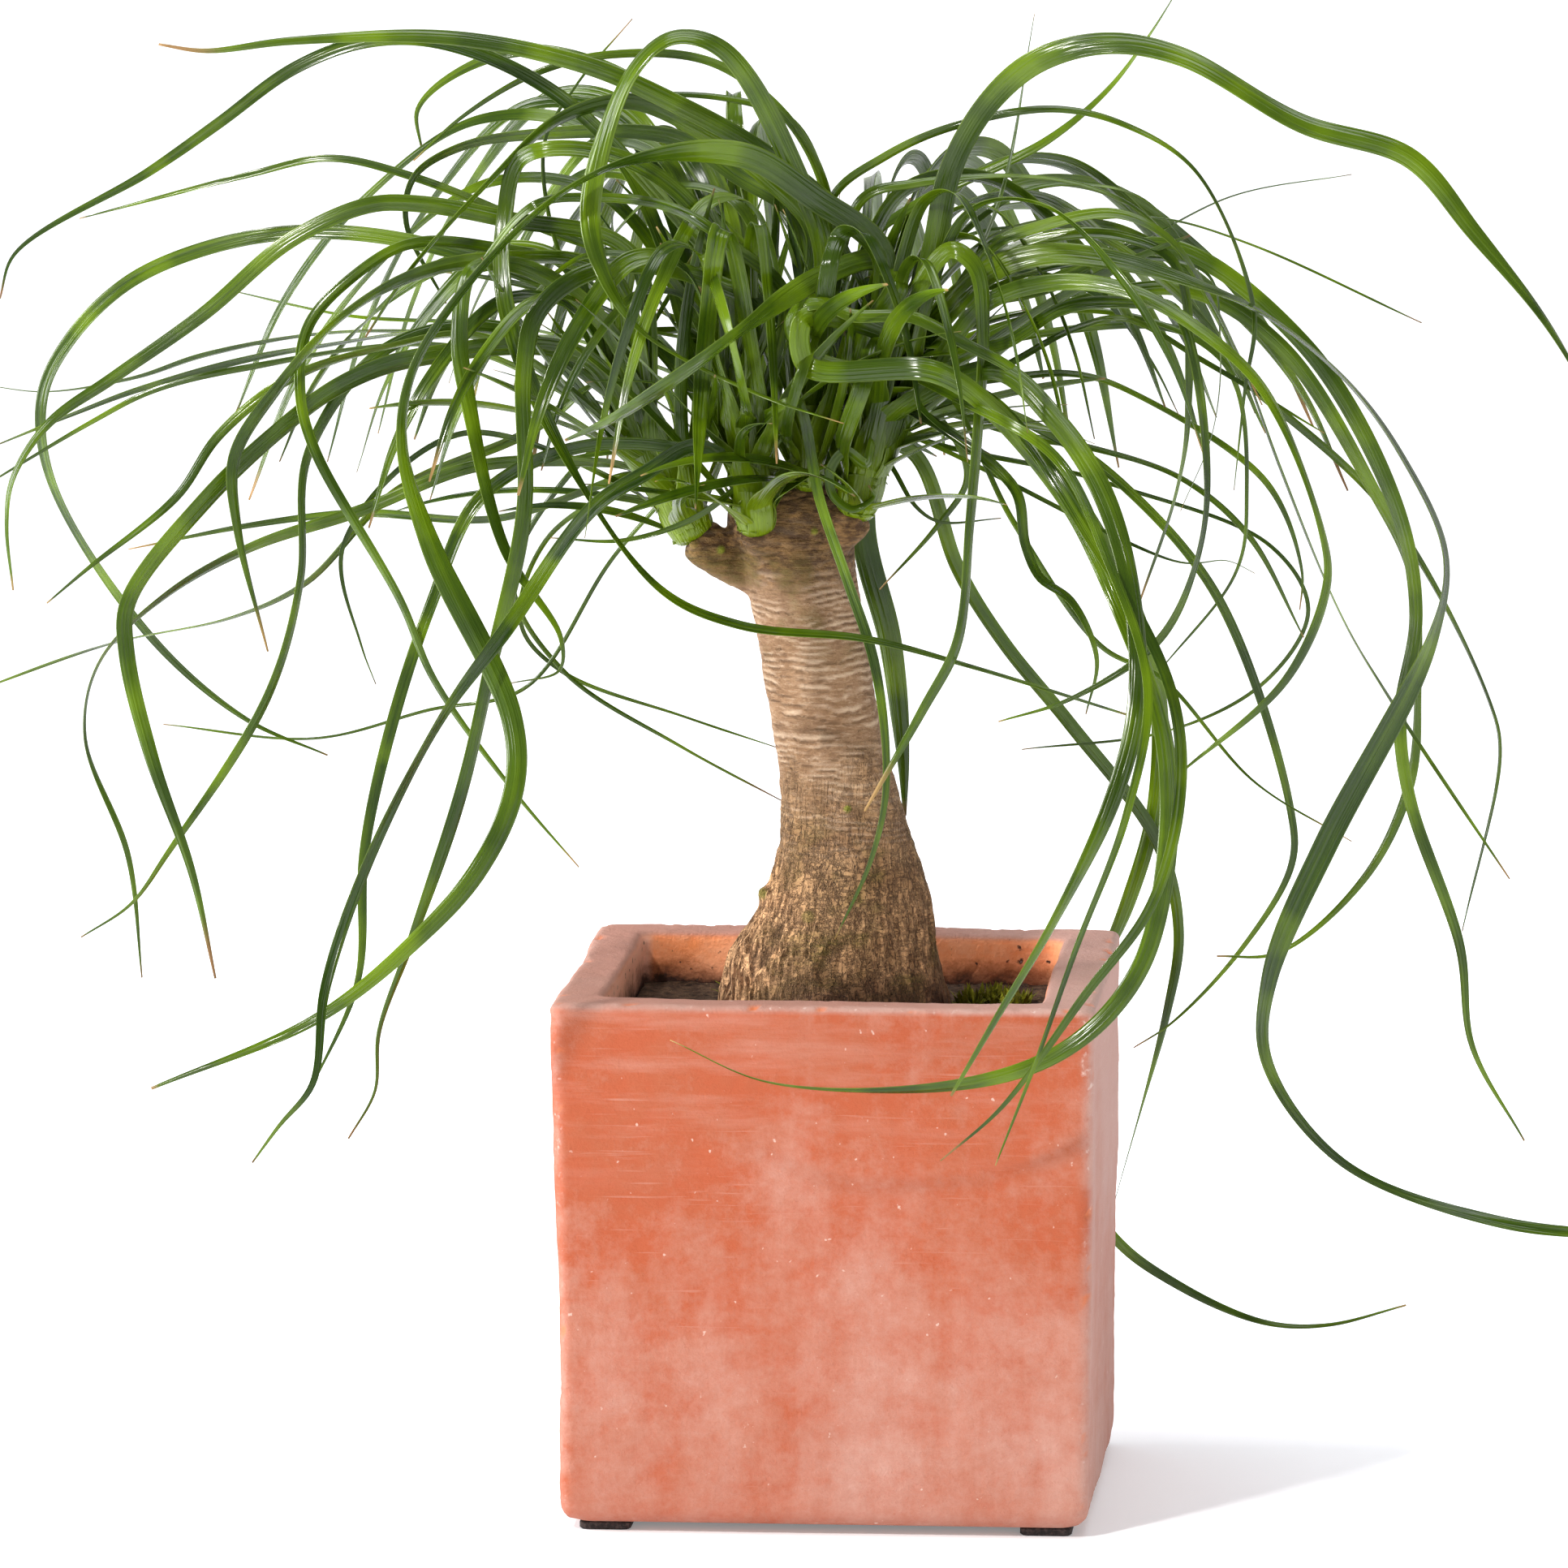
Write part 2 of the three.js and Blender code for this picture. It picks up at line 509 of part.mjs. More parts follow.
// A rule-made leaf, by its stations as shares of its reach and heights above the shoot.
const ARCH = [[0.26, 0.92], [0.5, 1]];
const DROOP = [[0.74, 0.28], [0.9, 0.62], [1, 1]];
const SPEAR = [[0.5, 0.6], [1, 1]];

function ruledLine(head, azimuth, reach, stations) {
  const start = inShoot(HEADS[head], 0.7, new THREE.Vector3(), 0);
  const out = new THREE.Vector3(Math.cos(azimuth), Math.sin(azimuth), 0);
  return stations.map(([along, height]) => {
    const point = start.clone().addScaledVector(out, reach * along).setZ(start.z + height);
    const [x, z] = asSeen(point);
    return { x, z, y: point.y };
  });
}

function gatherLeaves() {
  const draw = dice(SEED);
  const leaves = LEAVES.map((row) => ({
    head: row.head,
    width: row.width,
    turn: draw(...TURNS.traced) + Math.max(0, TURNS.narrow - row.width) * TURNS.more,
    line: drawnLine(row),
  }));
  for (const [head, count, first, last, shortest, longest, height] of FILLERS) {
    for (let k = 0; k < count; k += 1) {
      const share = (k + draw(...HIDDEN.place)) / count;
      const azimuth = THREE.MathUtils.degToRad(first + (last - first) * share);
      const reach = draw(shortest, longest);
      const rise = height * draw(...HIDDEN.rise);
      const drop = rise + reach * draw(...HIDDEN.drop);
      const stations = [
        ...ARCH.map(([along, up]) => [along, rise * up]),
        ...DROOP.map(([along, down]) => [along, rise - drop * down]),
      ];
      leaves.push({
        head,
        width: draw(...HIDDEN.width),
        turn: draw(...TURNS.hidden),
        across: new THREE.Vector3(-Math.sin(azimuth), Math.cos(azimuth), 0),
        line: ruledLine(head, azimuth, reach, stations),
      });
    }
  }
  for (const head of Object.keys(HEADS)) {
    for (let k = 0; k < HEART.leaves; k += 1) {
      const azimuth = draw(0, 2 * Math.PI);
      const height = draw(...HEART.height);
      leaves.push({
        head,
        width: draw(...HEART.width),
        turn: draw(...TURNS.hidden),
        across: new THREE.Vector3(-Math.sin(azimuth), Math.cos(azimuth), 0),
        line: ruledLine(head, azimuth, draw(...HEART.reach), SPEAR.map(([a, up]) => [a, height * up])),
        heart: true,
      });
    }
  }
  for (const [name, head] of Object.entries(HEADS)) {
    plantRoots(leaves.filter((leaf) => leaf.head === name), head);
  }
  return leaves;
}

// Leaves stand round their shoot in the order of where they head for, at heights that differ
// from neighbour to neighbour, and start just under its skin.
const ROOT = {
  lowest: 0.3, range: 0.62, heart: 0.88, heartStep: 0.02, step: 0.618,
  sunk: 3, clear: 34, goal: 110, even: 0.6, skipped: 4, swerve: 1.5, elbow: [15, 7],
};

function plantRoots(leaves, head) {
  const axis = new THREE.Vector3(...head.grows).normalize();
  const side = new THREE.Vector3(1, 0, 0).addScaledVector(axis, -axis.x).normalize();
  const behind = axis.clone().cross(side);
  const middle = inShoot(head, 0.6, axis, 0);
  const wanted = (leaf) => {
    const goal = leaf.line.find(({ x, z, y }) => seen(x, z, y).distanceTo(middle) > ROOT.goal)
      || leaf.line[leaf.line.length - 1];
    const to = seen(goal.x, goal.z, goal.y).sub(middle);
    return Math.atan2(to.dot(behind), to.dot(side));
  };
  const order = leaves.map((leaf) => ({ leaf, angle: wanted(leaf) })).sort((a, b) => a.angle - b.angle);
  order.forEach(({ leaf, angle }, k) => {
    const evenly = ((k + 0.5) / order.length) * 2 * Math.PI - Math.PI;
    const turned = angle + (evenly - angle) * ROOT.even;
    const outward = side.clone().multiplyScalar(Math.cos(turned)).addScaledVector(behind, Math.sin(turned));
    const among = ROOT.lowest + ROOT.range * ((k * ROOT.step) % 1);
    const along = leaf.heart ? ROOT.heart + ROOT.heartStep * (k % 4) : among;
    const skin = between(SHOOT, along) * head.radius;
    const root = inShoot(head, along - 0.1, outward, Math.max(skin - ROOT.sunk, 0.2 * skin));
    const exit = inShoot(head, along + 0.03, outward, skin + 1);
    const rise = exit.clone().sub(root);
    const runs = leaf.line.map(({ x, z, y }) => seen(x, z, y).sub(exit));
    const clear = (run) => run.length() > ROOT.clear;
    let first = runs.findIndex((run, n) => n < ROOT.skipped && clear(run) && run.angleTo(rise) < ROOT.swerve);
    const stem = [root, exit];
    if (first < 0) {
      first = Math.max(runs.findIndex(clear), 0);
      stem.push(exit.clone().addScaledVector(outward, ROOT.elbow[0]).addScaledVector(axis, ROOT.elbow[1]));
    }
    const controls = stem.map((point) => {
      const [x, z] = asSeen(point);
      return { x, z, y: point.y, held: true };
    });
    for (const { x, z, y } of leaf.line.slice(first)) controls.push({ x, z, y, held: false });
    leaf.controls = controls;
  });
}

// ---------------------------------------------------------------- blades

// How wide a leaf is along its length, as a share of its greatest width.
const OUTLINE = [[0, 0.7], [0.12, 0.95], [0.35, 1], [0.6, 0.92], [0.8, 0.7], [0.92, 0.38], [1, 0.12]];

// Where a leaf's rings go: evenly along its smooth line, and closer together where it bends.
function placeRings(leaf) {
  const points = leaf.controls.map(({ x, z, y }) => new THREE.Vector3(x, z, y));
  const curve = new THREE.CatmullRomCurve3(points, false, 'centripetal');
  const fine = curve.getPoints((points.length - 1) * RINGS.fine);
  const effort = [0];
  for (let k = 1; k < fine.length; k += 1) {
    const step = fine[k].clone().sub(fine[k - 1]);
    const next = fine[Math.min(k + 1, fine.length - 1)].clone().sub(fine[k]);
    const bend = next.lengthSq() > 0 ? step.angleTo(next) : 0;
    effort.push(effort[k - 1] + step.length() + RINGS.bend * bend);
  }
  const total = effort[effort.length - 1];
  const count = THREE.MathUtils.clamp(Math.round(total / RINGS.pitch), RINGS.fewest, RINGS.most);
  leaf.rings = [];
  let k = 0;
  for (let n = 0; n <= count; n += 1) {
    const wanted = (total * n) / count;
    while (k + 2 < effort.length && effort[k + 1] < wanted) k += 1;
    const share = Math.min((wanted - effort[k]) / (effort[k + 1] - effort[k]), 1);
    const { x, y: z, z: y } = fine[k].clone().lerp(fine[k + 1], share);
    leaf.rings.push({ x, z, y, held: n === 0 });
  }
}

// Each ring's place, the half blade across it as a vector, and which way the keel hangs.
function framesOf(leaf) {
  const places = leaf.rings.map(({ x, z, y }) => seen(x, z, y));
  const travelled = [0];
  for (let k = 1; k < places.length; k += 1) {
    travelled.push(travelled[k - 1] + places[k].distanceTo(places[k - 1]));
  }
  const trueWidth = leaf.width / Math.cos(Math.min(leaf.turn, 1));
  let before = null;
  let last = null;
  return places.map((place, k) => {
    const next = places[Math.min(k + 1, places.length - 1)];
    const tangent = next.clone().sub(places[Math.max(k - 1, 0)]).normalize();
    const sight = place.clone().sub(EYE).normalize();
    const across = leaf.across ? leaf.across.clone() : tangent.clone().cross(sight);
    if (!leaf.across && before && across.length() < 0.3) across.copy(before);
    across.addScaledVector(tangent, -across.dot(tangent)).normalize();
    if (before && across.dot(before) < 0) across.negate();
    before = across.clone();
    const share = between(OUTLINE, travelled[k] / travelled[travelled.length - 1]);
    const width = Math.max(trueWidth * share, BLADE.thread);
    const normal = across.clone().cross(tangent);
    const half = across.multiplyScalar(Math.cos(leaf.turn)).addScaledVector(normal, Math.sin(leaf.turn));
    half.multiplyScalar(width / 2);
    tipAtBend(half, places[k].clone().sub(places[Math.max(k - 1, 0)]), next.clone().sub(places[k]));
    if (last) easeTwist(half, last, tangent);
    last = half;
    const keel = half.clone().cross(tangent).normalize();
    keel.multiplyScalar(THREE.MathUtils.clamp(width * 0.2, BLADE.thinnest, BLADE.thickest));
    return { place, half, keel, travelled: travelled[k] };
  });
}

// A strap can't bend far in its own plane: at a sharp corner it tips about its length until its
// inner edge no longer folds over.
function tipAtBend(half, from, to) {
  const angle = from.angleTo(to);
  if (from.length() === 0 || to.length() === 0 || angle < 0.05) return;
  const run = from.clone().normalize().add(to.clone().normalize()).normalize();
  const inward = to.clone().normalize().sub(from.clone().normalize());
  inward.addScaledVector(run, -inward.dot(run)).normalize();
  const most = (BLADE.fold * Math.min(from.length(), to.length())) / Math.tan(angle / 2);
  const reach = half.dot(inward);
  if (Math.abs(reach) <= most) return;
  const length = half.length();
  const flat = run.clone().cross(inward);
  const side = half.dot(flat) < 0 ? -1 : 1;
  half.copy(inward).multiplyScalar(Math.sign(reach) * most);
  half.addScaledVector(flat, side * Math.sqrt(length * length - most * most));
}

// Between two rings a strap turns about its own length by BLADE.twist at the most.
function easeTwist(half, last, tangent) {
  const kept = last.clone().addScaledVector(tangent, -last.dot(tangent)).normalize();
  const length = half.length();
  const angle = kept.angleTo(half);
  if (angle <= BLADE.twist) return;
  const aside = half.clone().normalize().addScaledVector(kept, -Math.cos(angle)).normalize();
  half.copy(kept).multiplyScalar(length * Math.cos(BLADE.twist));
  half.addScaledVector(aside, length * Math.sin(BLADE.twist));
}

function blade(leaf) {
  return loft(framesOf(leaf).map(({ place, half, keel }) => [
    place.clone().add(half),
    place.clone().sub(half),
    place.clone().add(keel),
  ]), true);
}

// ---------------------------------------------------------------- bending leaves clear

// Points along every leaf for comparing it with the others: each lies between two rings, and
// knows how far the blade reaches across the view and in depth there.
function samplesOf(leaf, index) {
  const frames = framesOf(leaf);
  const samples = [];
  for (let k = 0; k + 1 < frames.length; k += 1) {
    const low = leaf.rings[k];
    const high = leaf.rings[k + 1];
    const length = Math.hypot(high.x - low.x, high.z - low.z);
    const steps = Math.max(2, Math.ceil(length / SPREAD.step));
    for (let n = 0; n < steps; n += 1) {
      const share = n / steps;
      const half = frames[k].half.clone().lerp(frames[k + 1].half, share);
      samples.push({
        index,
        head: leaf.head,
        low,
        high,
        share,
        x: low.x + (high.x - low.x) * share,
        z: low.z + (high.z - low.z) * share,
        travelled: frames[k].travelled,
        radius: Math.hypot(half.x, half.z),
        depth: Math.abs(half.y),
      });
    }
  }
  return samples;
}

// The shoots and the trunk as discs that only push.
function obstacles() {
  const solids = [];
  for (const [name, head] of Object.entries(HEADS)) {
    for (let along = 0; along <= 1; along += 0.1) {
      const place = inShoot(head, along, new THREE.Vector3(), 0);
      const [x, z] = asSeen(place);
      const radius = head.radius * between(SHOOT, along);
      solids.push({ x, z, y: place.y, head: name, radius, depth: radius });
    }
  }
  for (let k = FIRST_BARE_ROW; k < TRUNK.length; k += 1) {
    for (const part of [0, 0.33, 0.67]) {
      const [z, left, right, depth] = TRUNK[k].map(
        (value, n) => TRUNK[k - 1][n] * (1 - part) + value * part);
      solids.push({ x: (left + right) / 2, z, y: 0, head: 'trunk', radius: (right - left) / 2, depth });
    }
  }
  return solids;
}

function depthOf(s) {
  return s.low ? s.low.y + (s.high.y - s.low.y) * s.share : s.y;
}

function push(s, by) {
  if (!s.low) return;
  const low = s.low.held ? 0 : 1 - s.share;
  const high = s.share;
  const lever = Math.max((1 - s.share) * low + s.share * high, 0.4);
  s.low.y += (by * low) / lever;
  s.high.y += (by * high) / lever;
}

// Leaves that cross as seen from the front are moved apart in depth, along the line of sight,
// until there is air between them. Each keeps its side of the other wherever they meet.
function spread(leaves) {
  const samples = leaves.flatMap(samplesOf);
  const solids = obstacles();
  const meetings = [];
  const behind = {};
  const meet = (a, b) => {
    if (Math.hypot(a.x - b.x, a.z - b.z) > a.radius + b.radius + SPREAD.margin) return;
    const pair = `${a.index} ${b.low ? b.index : b.head}`;
    behind[pair] = (behind[pair] || 0) + Math.sign(depthOf(a) - depthOf(b));
    meetings.push({ a, b, pair, gap: SPREAD.air + a.depth + b.depth });
  };
  samples.forEach((a, i) => {
    for (let j = i + 1; j < samples.length; j += 1) {
      const b = samples[j];
      const rooted = a.head === b.head && (a.travelled < SPREAD.rooted || b.travelled < SPREAD.rooted);
      if (a.index !== b.index && !rooted && Math.abs(a.x - b.x) < SPREAD.reach) meet(a, b);
    }
    for (const b of solids) if (a.head !== b.head) meet(a, b);
  });
  const wall = POT.topWidth / 2 + SPREAD.wall;
  for (let round = 0; round < SPREAD.rounds; round += 1) {
    for (const { a, b, gap, pair } of meetings) {
      const side = behind[pair] > 0 ? 1 : -1;
      const short = gap - side * (depthOf(a) - depthOf(b));
      if (short <= 0) continue;
      const share = b.low ? 0.5 : 1;
      push(a, side * short * share);
      push(b, -side * short * share);
    }
    for (const s of samples) {
      const y = depthOf(s);
      const place = seen(s.x, s.z, y);
      const inside = Math.abs(y) < wall && Math.abs(place.x) < wall && place.z < RIM_Z + SPREAD.wall;
      if (inside) push(s, (y < 0 ? -wall : wall) - y);
    }
  }
}

// ---------------------------------------------------------------- assembly

function meshOf(name, solid, colour, roughness) {
  const mesh = solid.getMesh();
  const geometry = new THREE.BufferGeometry();
  geometry.setAttribute('position', new THREE.BufferAttribute(mesh.vertProperties, 3));
  geometry.setIndex(new THREE.BufferAttribute(mesh.triVerts, 1));
  geometry.computeVertexNormals();
  const material = new THREE.MeshStandardMaterial({ color: colour, roughness, metalness: 0 });
  const made = new THREE.Mesh(geometry, material);
  made.name = name;
  return made;
}

function makeHead(name, leaves) {
  let solid = shoot(HEADS[name]);
  for (const leaf of leaves) if (leaf.head === name) solid = solid.add(blade(leaf));
  return outerBody(outerBody(solid).simplify(SEAM));
}

// The one body that everything holds to, with any pocket that crossing leaves close filled.
function outerBody(solid) {
  return solid.decompose().reduce((most, piece) => (piece.volume() > most.volume() ? piece : most));
}

const leaves = gatherLeaves();
leaves.forEach(placeRings);
spread(leaves);

const plant = new THREE.Group();
plant.add(meshOf('pot', makePot(), 0xc4714f, 0.85));
const padPlace = POT.bottomWidth / 2 - PAD.inset;
for (const [name, x, y] of [['front_left', -1, -1], ['front_right', 1, -1], ['back_left', -1, 1],
  ['back_right', 1, 1]]) {
  plant.add(meshOf(`pad_${name}`, makePad(x * padPlace, y * padPlace), 0x3b3a38, 0.9));
}
plant.add(meshOf('soil', makeSoil(trunkBody(SOIL.gap)), 0x3a2a20, 0.95));
plant.add(meshOf('trunk', makeTrunk(), 0xa98a68, 0.9));
for (const name of Object.keys(HEADS)) {
  plant.add(meshOf(`head_${name}`, makeHead(name, leaves), 0x5f8a2e, 0.5));
}

export default plant;
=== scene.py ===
"""A ponytail palm in a square terracotta pot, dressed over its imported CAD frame.

Everything is worked out in millimetres, as the CAD part is, and meshes are written in metres.
+Z is up, +X is to the right and +Y goes away from the front view.
"""

import math

import bpy
import numpy as np
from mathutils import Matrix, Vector

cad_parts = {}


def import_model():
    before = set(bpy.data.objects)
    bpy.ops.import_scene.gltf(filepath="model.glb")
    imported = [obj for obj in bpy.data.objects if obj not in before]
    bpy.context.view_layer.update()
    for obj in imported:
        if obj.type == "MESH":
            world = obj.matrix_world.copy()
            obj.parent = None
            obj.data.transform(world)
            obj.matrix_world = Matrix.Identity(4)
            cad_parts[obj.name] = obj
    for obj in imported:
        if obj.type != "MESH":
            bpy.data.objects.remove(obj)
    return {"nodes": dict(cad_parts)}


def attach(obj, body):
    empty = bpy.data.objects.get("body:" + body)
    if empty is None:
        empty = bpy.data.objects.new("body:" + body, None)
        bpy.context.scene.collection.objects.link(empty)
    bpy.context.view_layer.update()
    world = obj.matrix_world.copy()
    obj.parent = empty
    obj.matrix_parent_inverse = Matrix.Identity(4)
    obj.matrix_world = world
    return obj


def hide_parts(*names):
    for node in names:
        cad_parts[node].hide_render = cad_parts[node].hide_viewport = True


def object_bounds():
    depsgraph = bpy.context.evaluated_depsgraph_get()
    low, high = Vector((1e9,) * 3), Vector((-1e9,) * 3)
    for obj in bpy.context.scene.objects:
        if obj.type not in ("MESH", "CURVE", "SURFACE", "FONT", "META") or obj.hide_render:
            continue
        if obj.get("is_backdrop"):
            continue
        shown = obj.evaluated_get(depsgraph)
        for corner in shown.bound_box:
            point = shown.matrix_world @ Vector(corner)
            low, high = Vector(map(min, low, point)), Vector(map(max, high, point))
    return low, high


MM = 0.001

# ---------------------------------------------------------------- driving dimensions

# The place that the plant's outlines were drawn from, and what the camera looks at from there.
EYE = np.array([380.0, -5182.6, 992.3])
LOOK_AT = np.array([-28.0, 0.0, 335.5])
LENS = 255.73

POT = {
    "top_width": 250, "bottom_width": 245, "height": 244,
    "wall_left": 22, "wall_right": 27, "wall_front": 24, "floor": 20,
    "edge_radius": 6, "foot_radius": 9, "foot_corner": 8, "rim_radius": 4,
    "inner_corner": 8, "floor_bevel": 5, "drain_radius": 11,
}
POT_FOOT_Z = 4
RIM_Z = POT_FOOT_Z + POT["height"]
POT_GRID = 2.2

# How the pot is worn and hand-worked, as rows of size, seed, octaves and height; how far its
# back rim is lifted and its left side leans out at the rim.
WEAR = {
    "waves": [(85, 1, 2, 2.6), (24, 2, 2, 0.9), ((70, 70, 5), 3, 2, 0.5)],
    "grain": [(4.5, 4, 2, 0.35)],
    "chips": 1.3, "pits": 0.6, "lift": 3.2, "lean": -2.2,
}

SOIL = {"top": 226, "gap": 0.7, "floor_gap": 1.5, "grid": 1.6, "crumbs": 3.0, "mounds": [(38, 42, 2, 4)]}
# Moss and weeds on the soil: where each patch is and how far it reaches across and back.
SPRIGS = {
    "patches": [(64, 42, 9, 9), (80, 34, 5, 8), (58, 30, 5, 6), (72, 48, 5, 5), (-52, 70, 10, 8)],
    "count": 900, "height": (3, 13), "width": (1.0, 2.8), "lean": (0.1, 1.1), "sag": 0.12,
    "seed": 431,
}

# Trunk outline: height, left edge, right edge, and half its depth from front to back.
TRUNK = [
    (182, -26, 19, 22), (190, -45, 38, 41), (205, -54, 47, 49), (232, -57.5, 50, 52),
    (257, -52, 42.5, 46), (284, -36, 38.6, 37.5), (303, -31, 35, 33), (322, -28.7, 29, 29),
    (350, -30.5, 21, 26), (373, -34.4, 17, 25.5), (400, -39, 11.4, 25), (423, -44, 7.5, 25.5),
    (440, -49, 5, 27), (458, -56, 4, 28), (470, -55, 3, 25), (477, -46, -4, 17),
]
FIRST_BARE_ROW = 4
# Shallow flutes round the trunk: how many, how deep, and how they turn with height.
FLUTES = [(3, 0.025, 1 / 40), (5, 0.015, -1 / 23)]
# The bark: the mesh's grid, rings of leaf scars, ropes, cork plates; a ridge (painted with a
# highlight too) and a crease (painted with shade too) as shares of a ring; the heights between
# which the ropes, the cork, the darker foot, the high moss and the crown's scaly bark, darkened as
# painted shade under the leaves, set in or end; the calmer, mossy side; and rows of size, seed,
# octaves and height for what is uneven: those edges, how the rings wander and the ropes swirl, and
# how the surface moves.
BARK = {
    "grid": 1.04, "smoothing": 30, "girth": 34.0, "scar_pitch": 3.7, "scar_height": 0.2,
    "ropes": (3.6, 3.6, 38), "rope_depth": 3.8, "plates": (7, 7, 4.9), "plate_depth": 1.5,
    "ridge_highlight": (0, 0.14, 0.28, 0.55), "crease_shade": (0.64, 0.86, 0.93, 1), "patches": (15, 15, 6),
    "roped": (250, 315), "cork": (285, 365), "dark_foot": (222, 262), "calm_top": (300, 345),
    "calm_side": (-0.35, 0.75), "calm_azimuth": -0.75,
    "high_moss": (385, 420, 440, 455), "crown": (422, 446), "stubs": (438, 452),
    "cork_edge": [(22, 3, 2, 60)], "roped_edge": [(30, 24, 1, 50)], "dark_foot_edge": [(16, 31, 2, 50)],
    "wander": [((70, 70, 30), 11, 2, 6), (12, 12, 3, 1.1)], "swirl": [(18, 21, 2, 7)],
    "lumps": [(26, 25, 2, 3.2), (9, 26, 2, 1.1)], "fine": [(2.4, 27, 2, 0.5)],
    "scars": [((16, 16, 5), 15, 2, 0.9)],
}
# Knobs and buds on the trunk's front: x and z as seen, radius, rise, and how green.
KNOBS = [
    (-10.6, 356, 4, 2.2, 0), (2, 324, 2.8, 2.4, 0.9), (-1, 331, 4.5, 1.6, 0), (-37, 283, 5.5, 3, 0.6),
    (-58, 446, 3, 2.6, 0.9), (-70, 448, 3, 2.4, 0.2), (6, 461, 4, 3, 0), (-14, 455, 2.6, 2.4, 0.8),
    (-9, 312, 3.5, 1.4, 0), (-24, 300, 4, 1.6, 0), (-15, 385, 3, 1.2, 0), (-16, 272, 5, 1.8, 0.3),
]

# Heads: seat on the trunk, which way the shoot grows, its radius, its length, and where the
# trunk's stub for it starts.
HEADS = {
    "left": ((-68, -6, 450), (-0.42, -0.06, 0.9), 13.5, 92, (-40, -2, 428)),
    "front": ((-38, -29, 456), (-0.1, -0.24, 0.96), 11.5, 84, (-30, -10, 440)),
    "centre": ((-16, -12, 474), (0, -0.06, 1), 9.5, 84, (-20, -6, 455)),
    "right": ((6, -14, 462), (0.22, -0.16, 0.96), 12.5, 98, (-12, -6, 440)),
    "back_left": ((-40, 17, 474), (-0.2, 0.24, 0.95), 12.5, 96, (-32, 8, 450)),
    "back_right": ((-6, 22, 470), (0.2, 0.28, 0.94), 12, 98, (-14, 10, 448)),
}
# How far a stub goes past its seat, and its outline from the trunk's middle up to the shoot.
STUB = {"above": 4, "along": (0, 0.2, 0.5, 0.8, 0.93, 1), "outline": (0.3, 0.5, 0.7, 0.85, 0.82, 0.5)}
# A shoot's outline: how far along it, and its radius there as a share of its greatest.
SHOOT = [(0, 0.45), (0.05, 0.85), (0.15, 1), (0.4, 0.96), (0.7, 0.8), (1, 0.42)]

# Rings of a solid's leaf: how far apart, what a turn of one radian adds to that length, the
# fewest and the most of them, and the steps between two drawn points that they are found on.
RINGS = {"pitch": 68, "bend": 34, "fewest": 5, "most": 12, "fine": 12}
# A solid's leaf: its least width, how far it may reach into a bend as a share of the straight
# beside it, and how far it may turn between two rings.
BLADE = {"thread": 1.5, "fold": 0.35, "twist": 0.7}
# Moving leaves apart: how often, the air between them, how finely they are compared, how near
# two of them have to come, the stretch at the root where leaves of one shoot may touch, and
# how they clear the pot.
SPREAD = {
    "rounds": 120, "air": 2.6, "step": 8, "margin": 1.5, "reach": 16, "rooted": 70, "wall": 6,
    "near_pot": 150, "low": 300,
}
# How wide a leaf is along its length, as a share of its greatest width.
OUTLINE = [(0, 0.7), (0.12, 0.95), (0.35, 1), (0.6, 0.92), (0.8, 0.7), (0.92, 0.38), (1, 0.12)]

# ---------------------------------------------------------------- the leaves

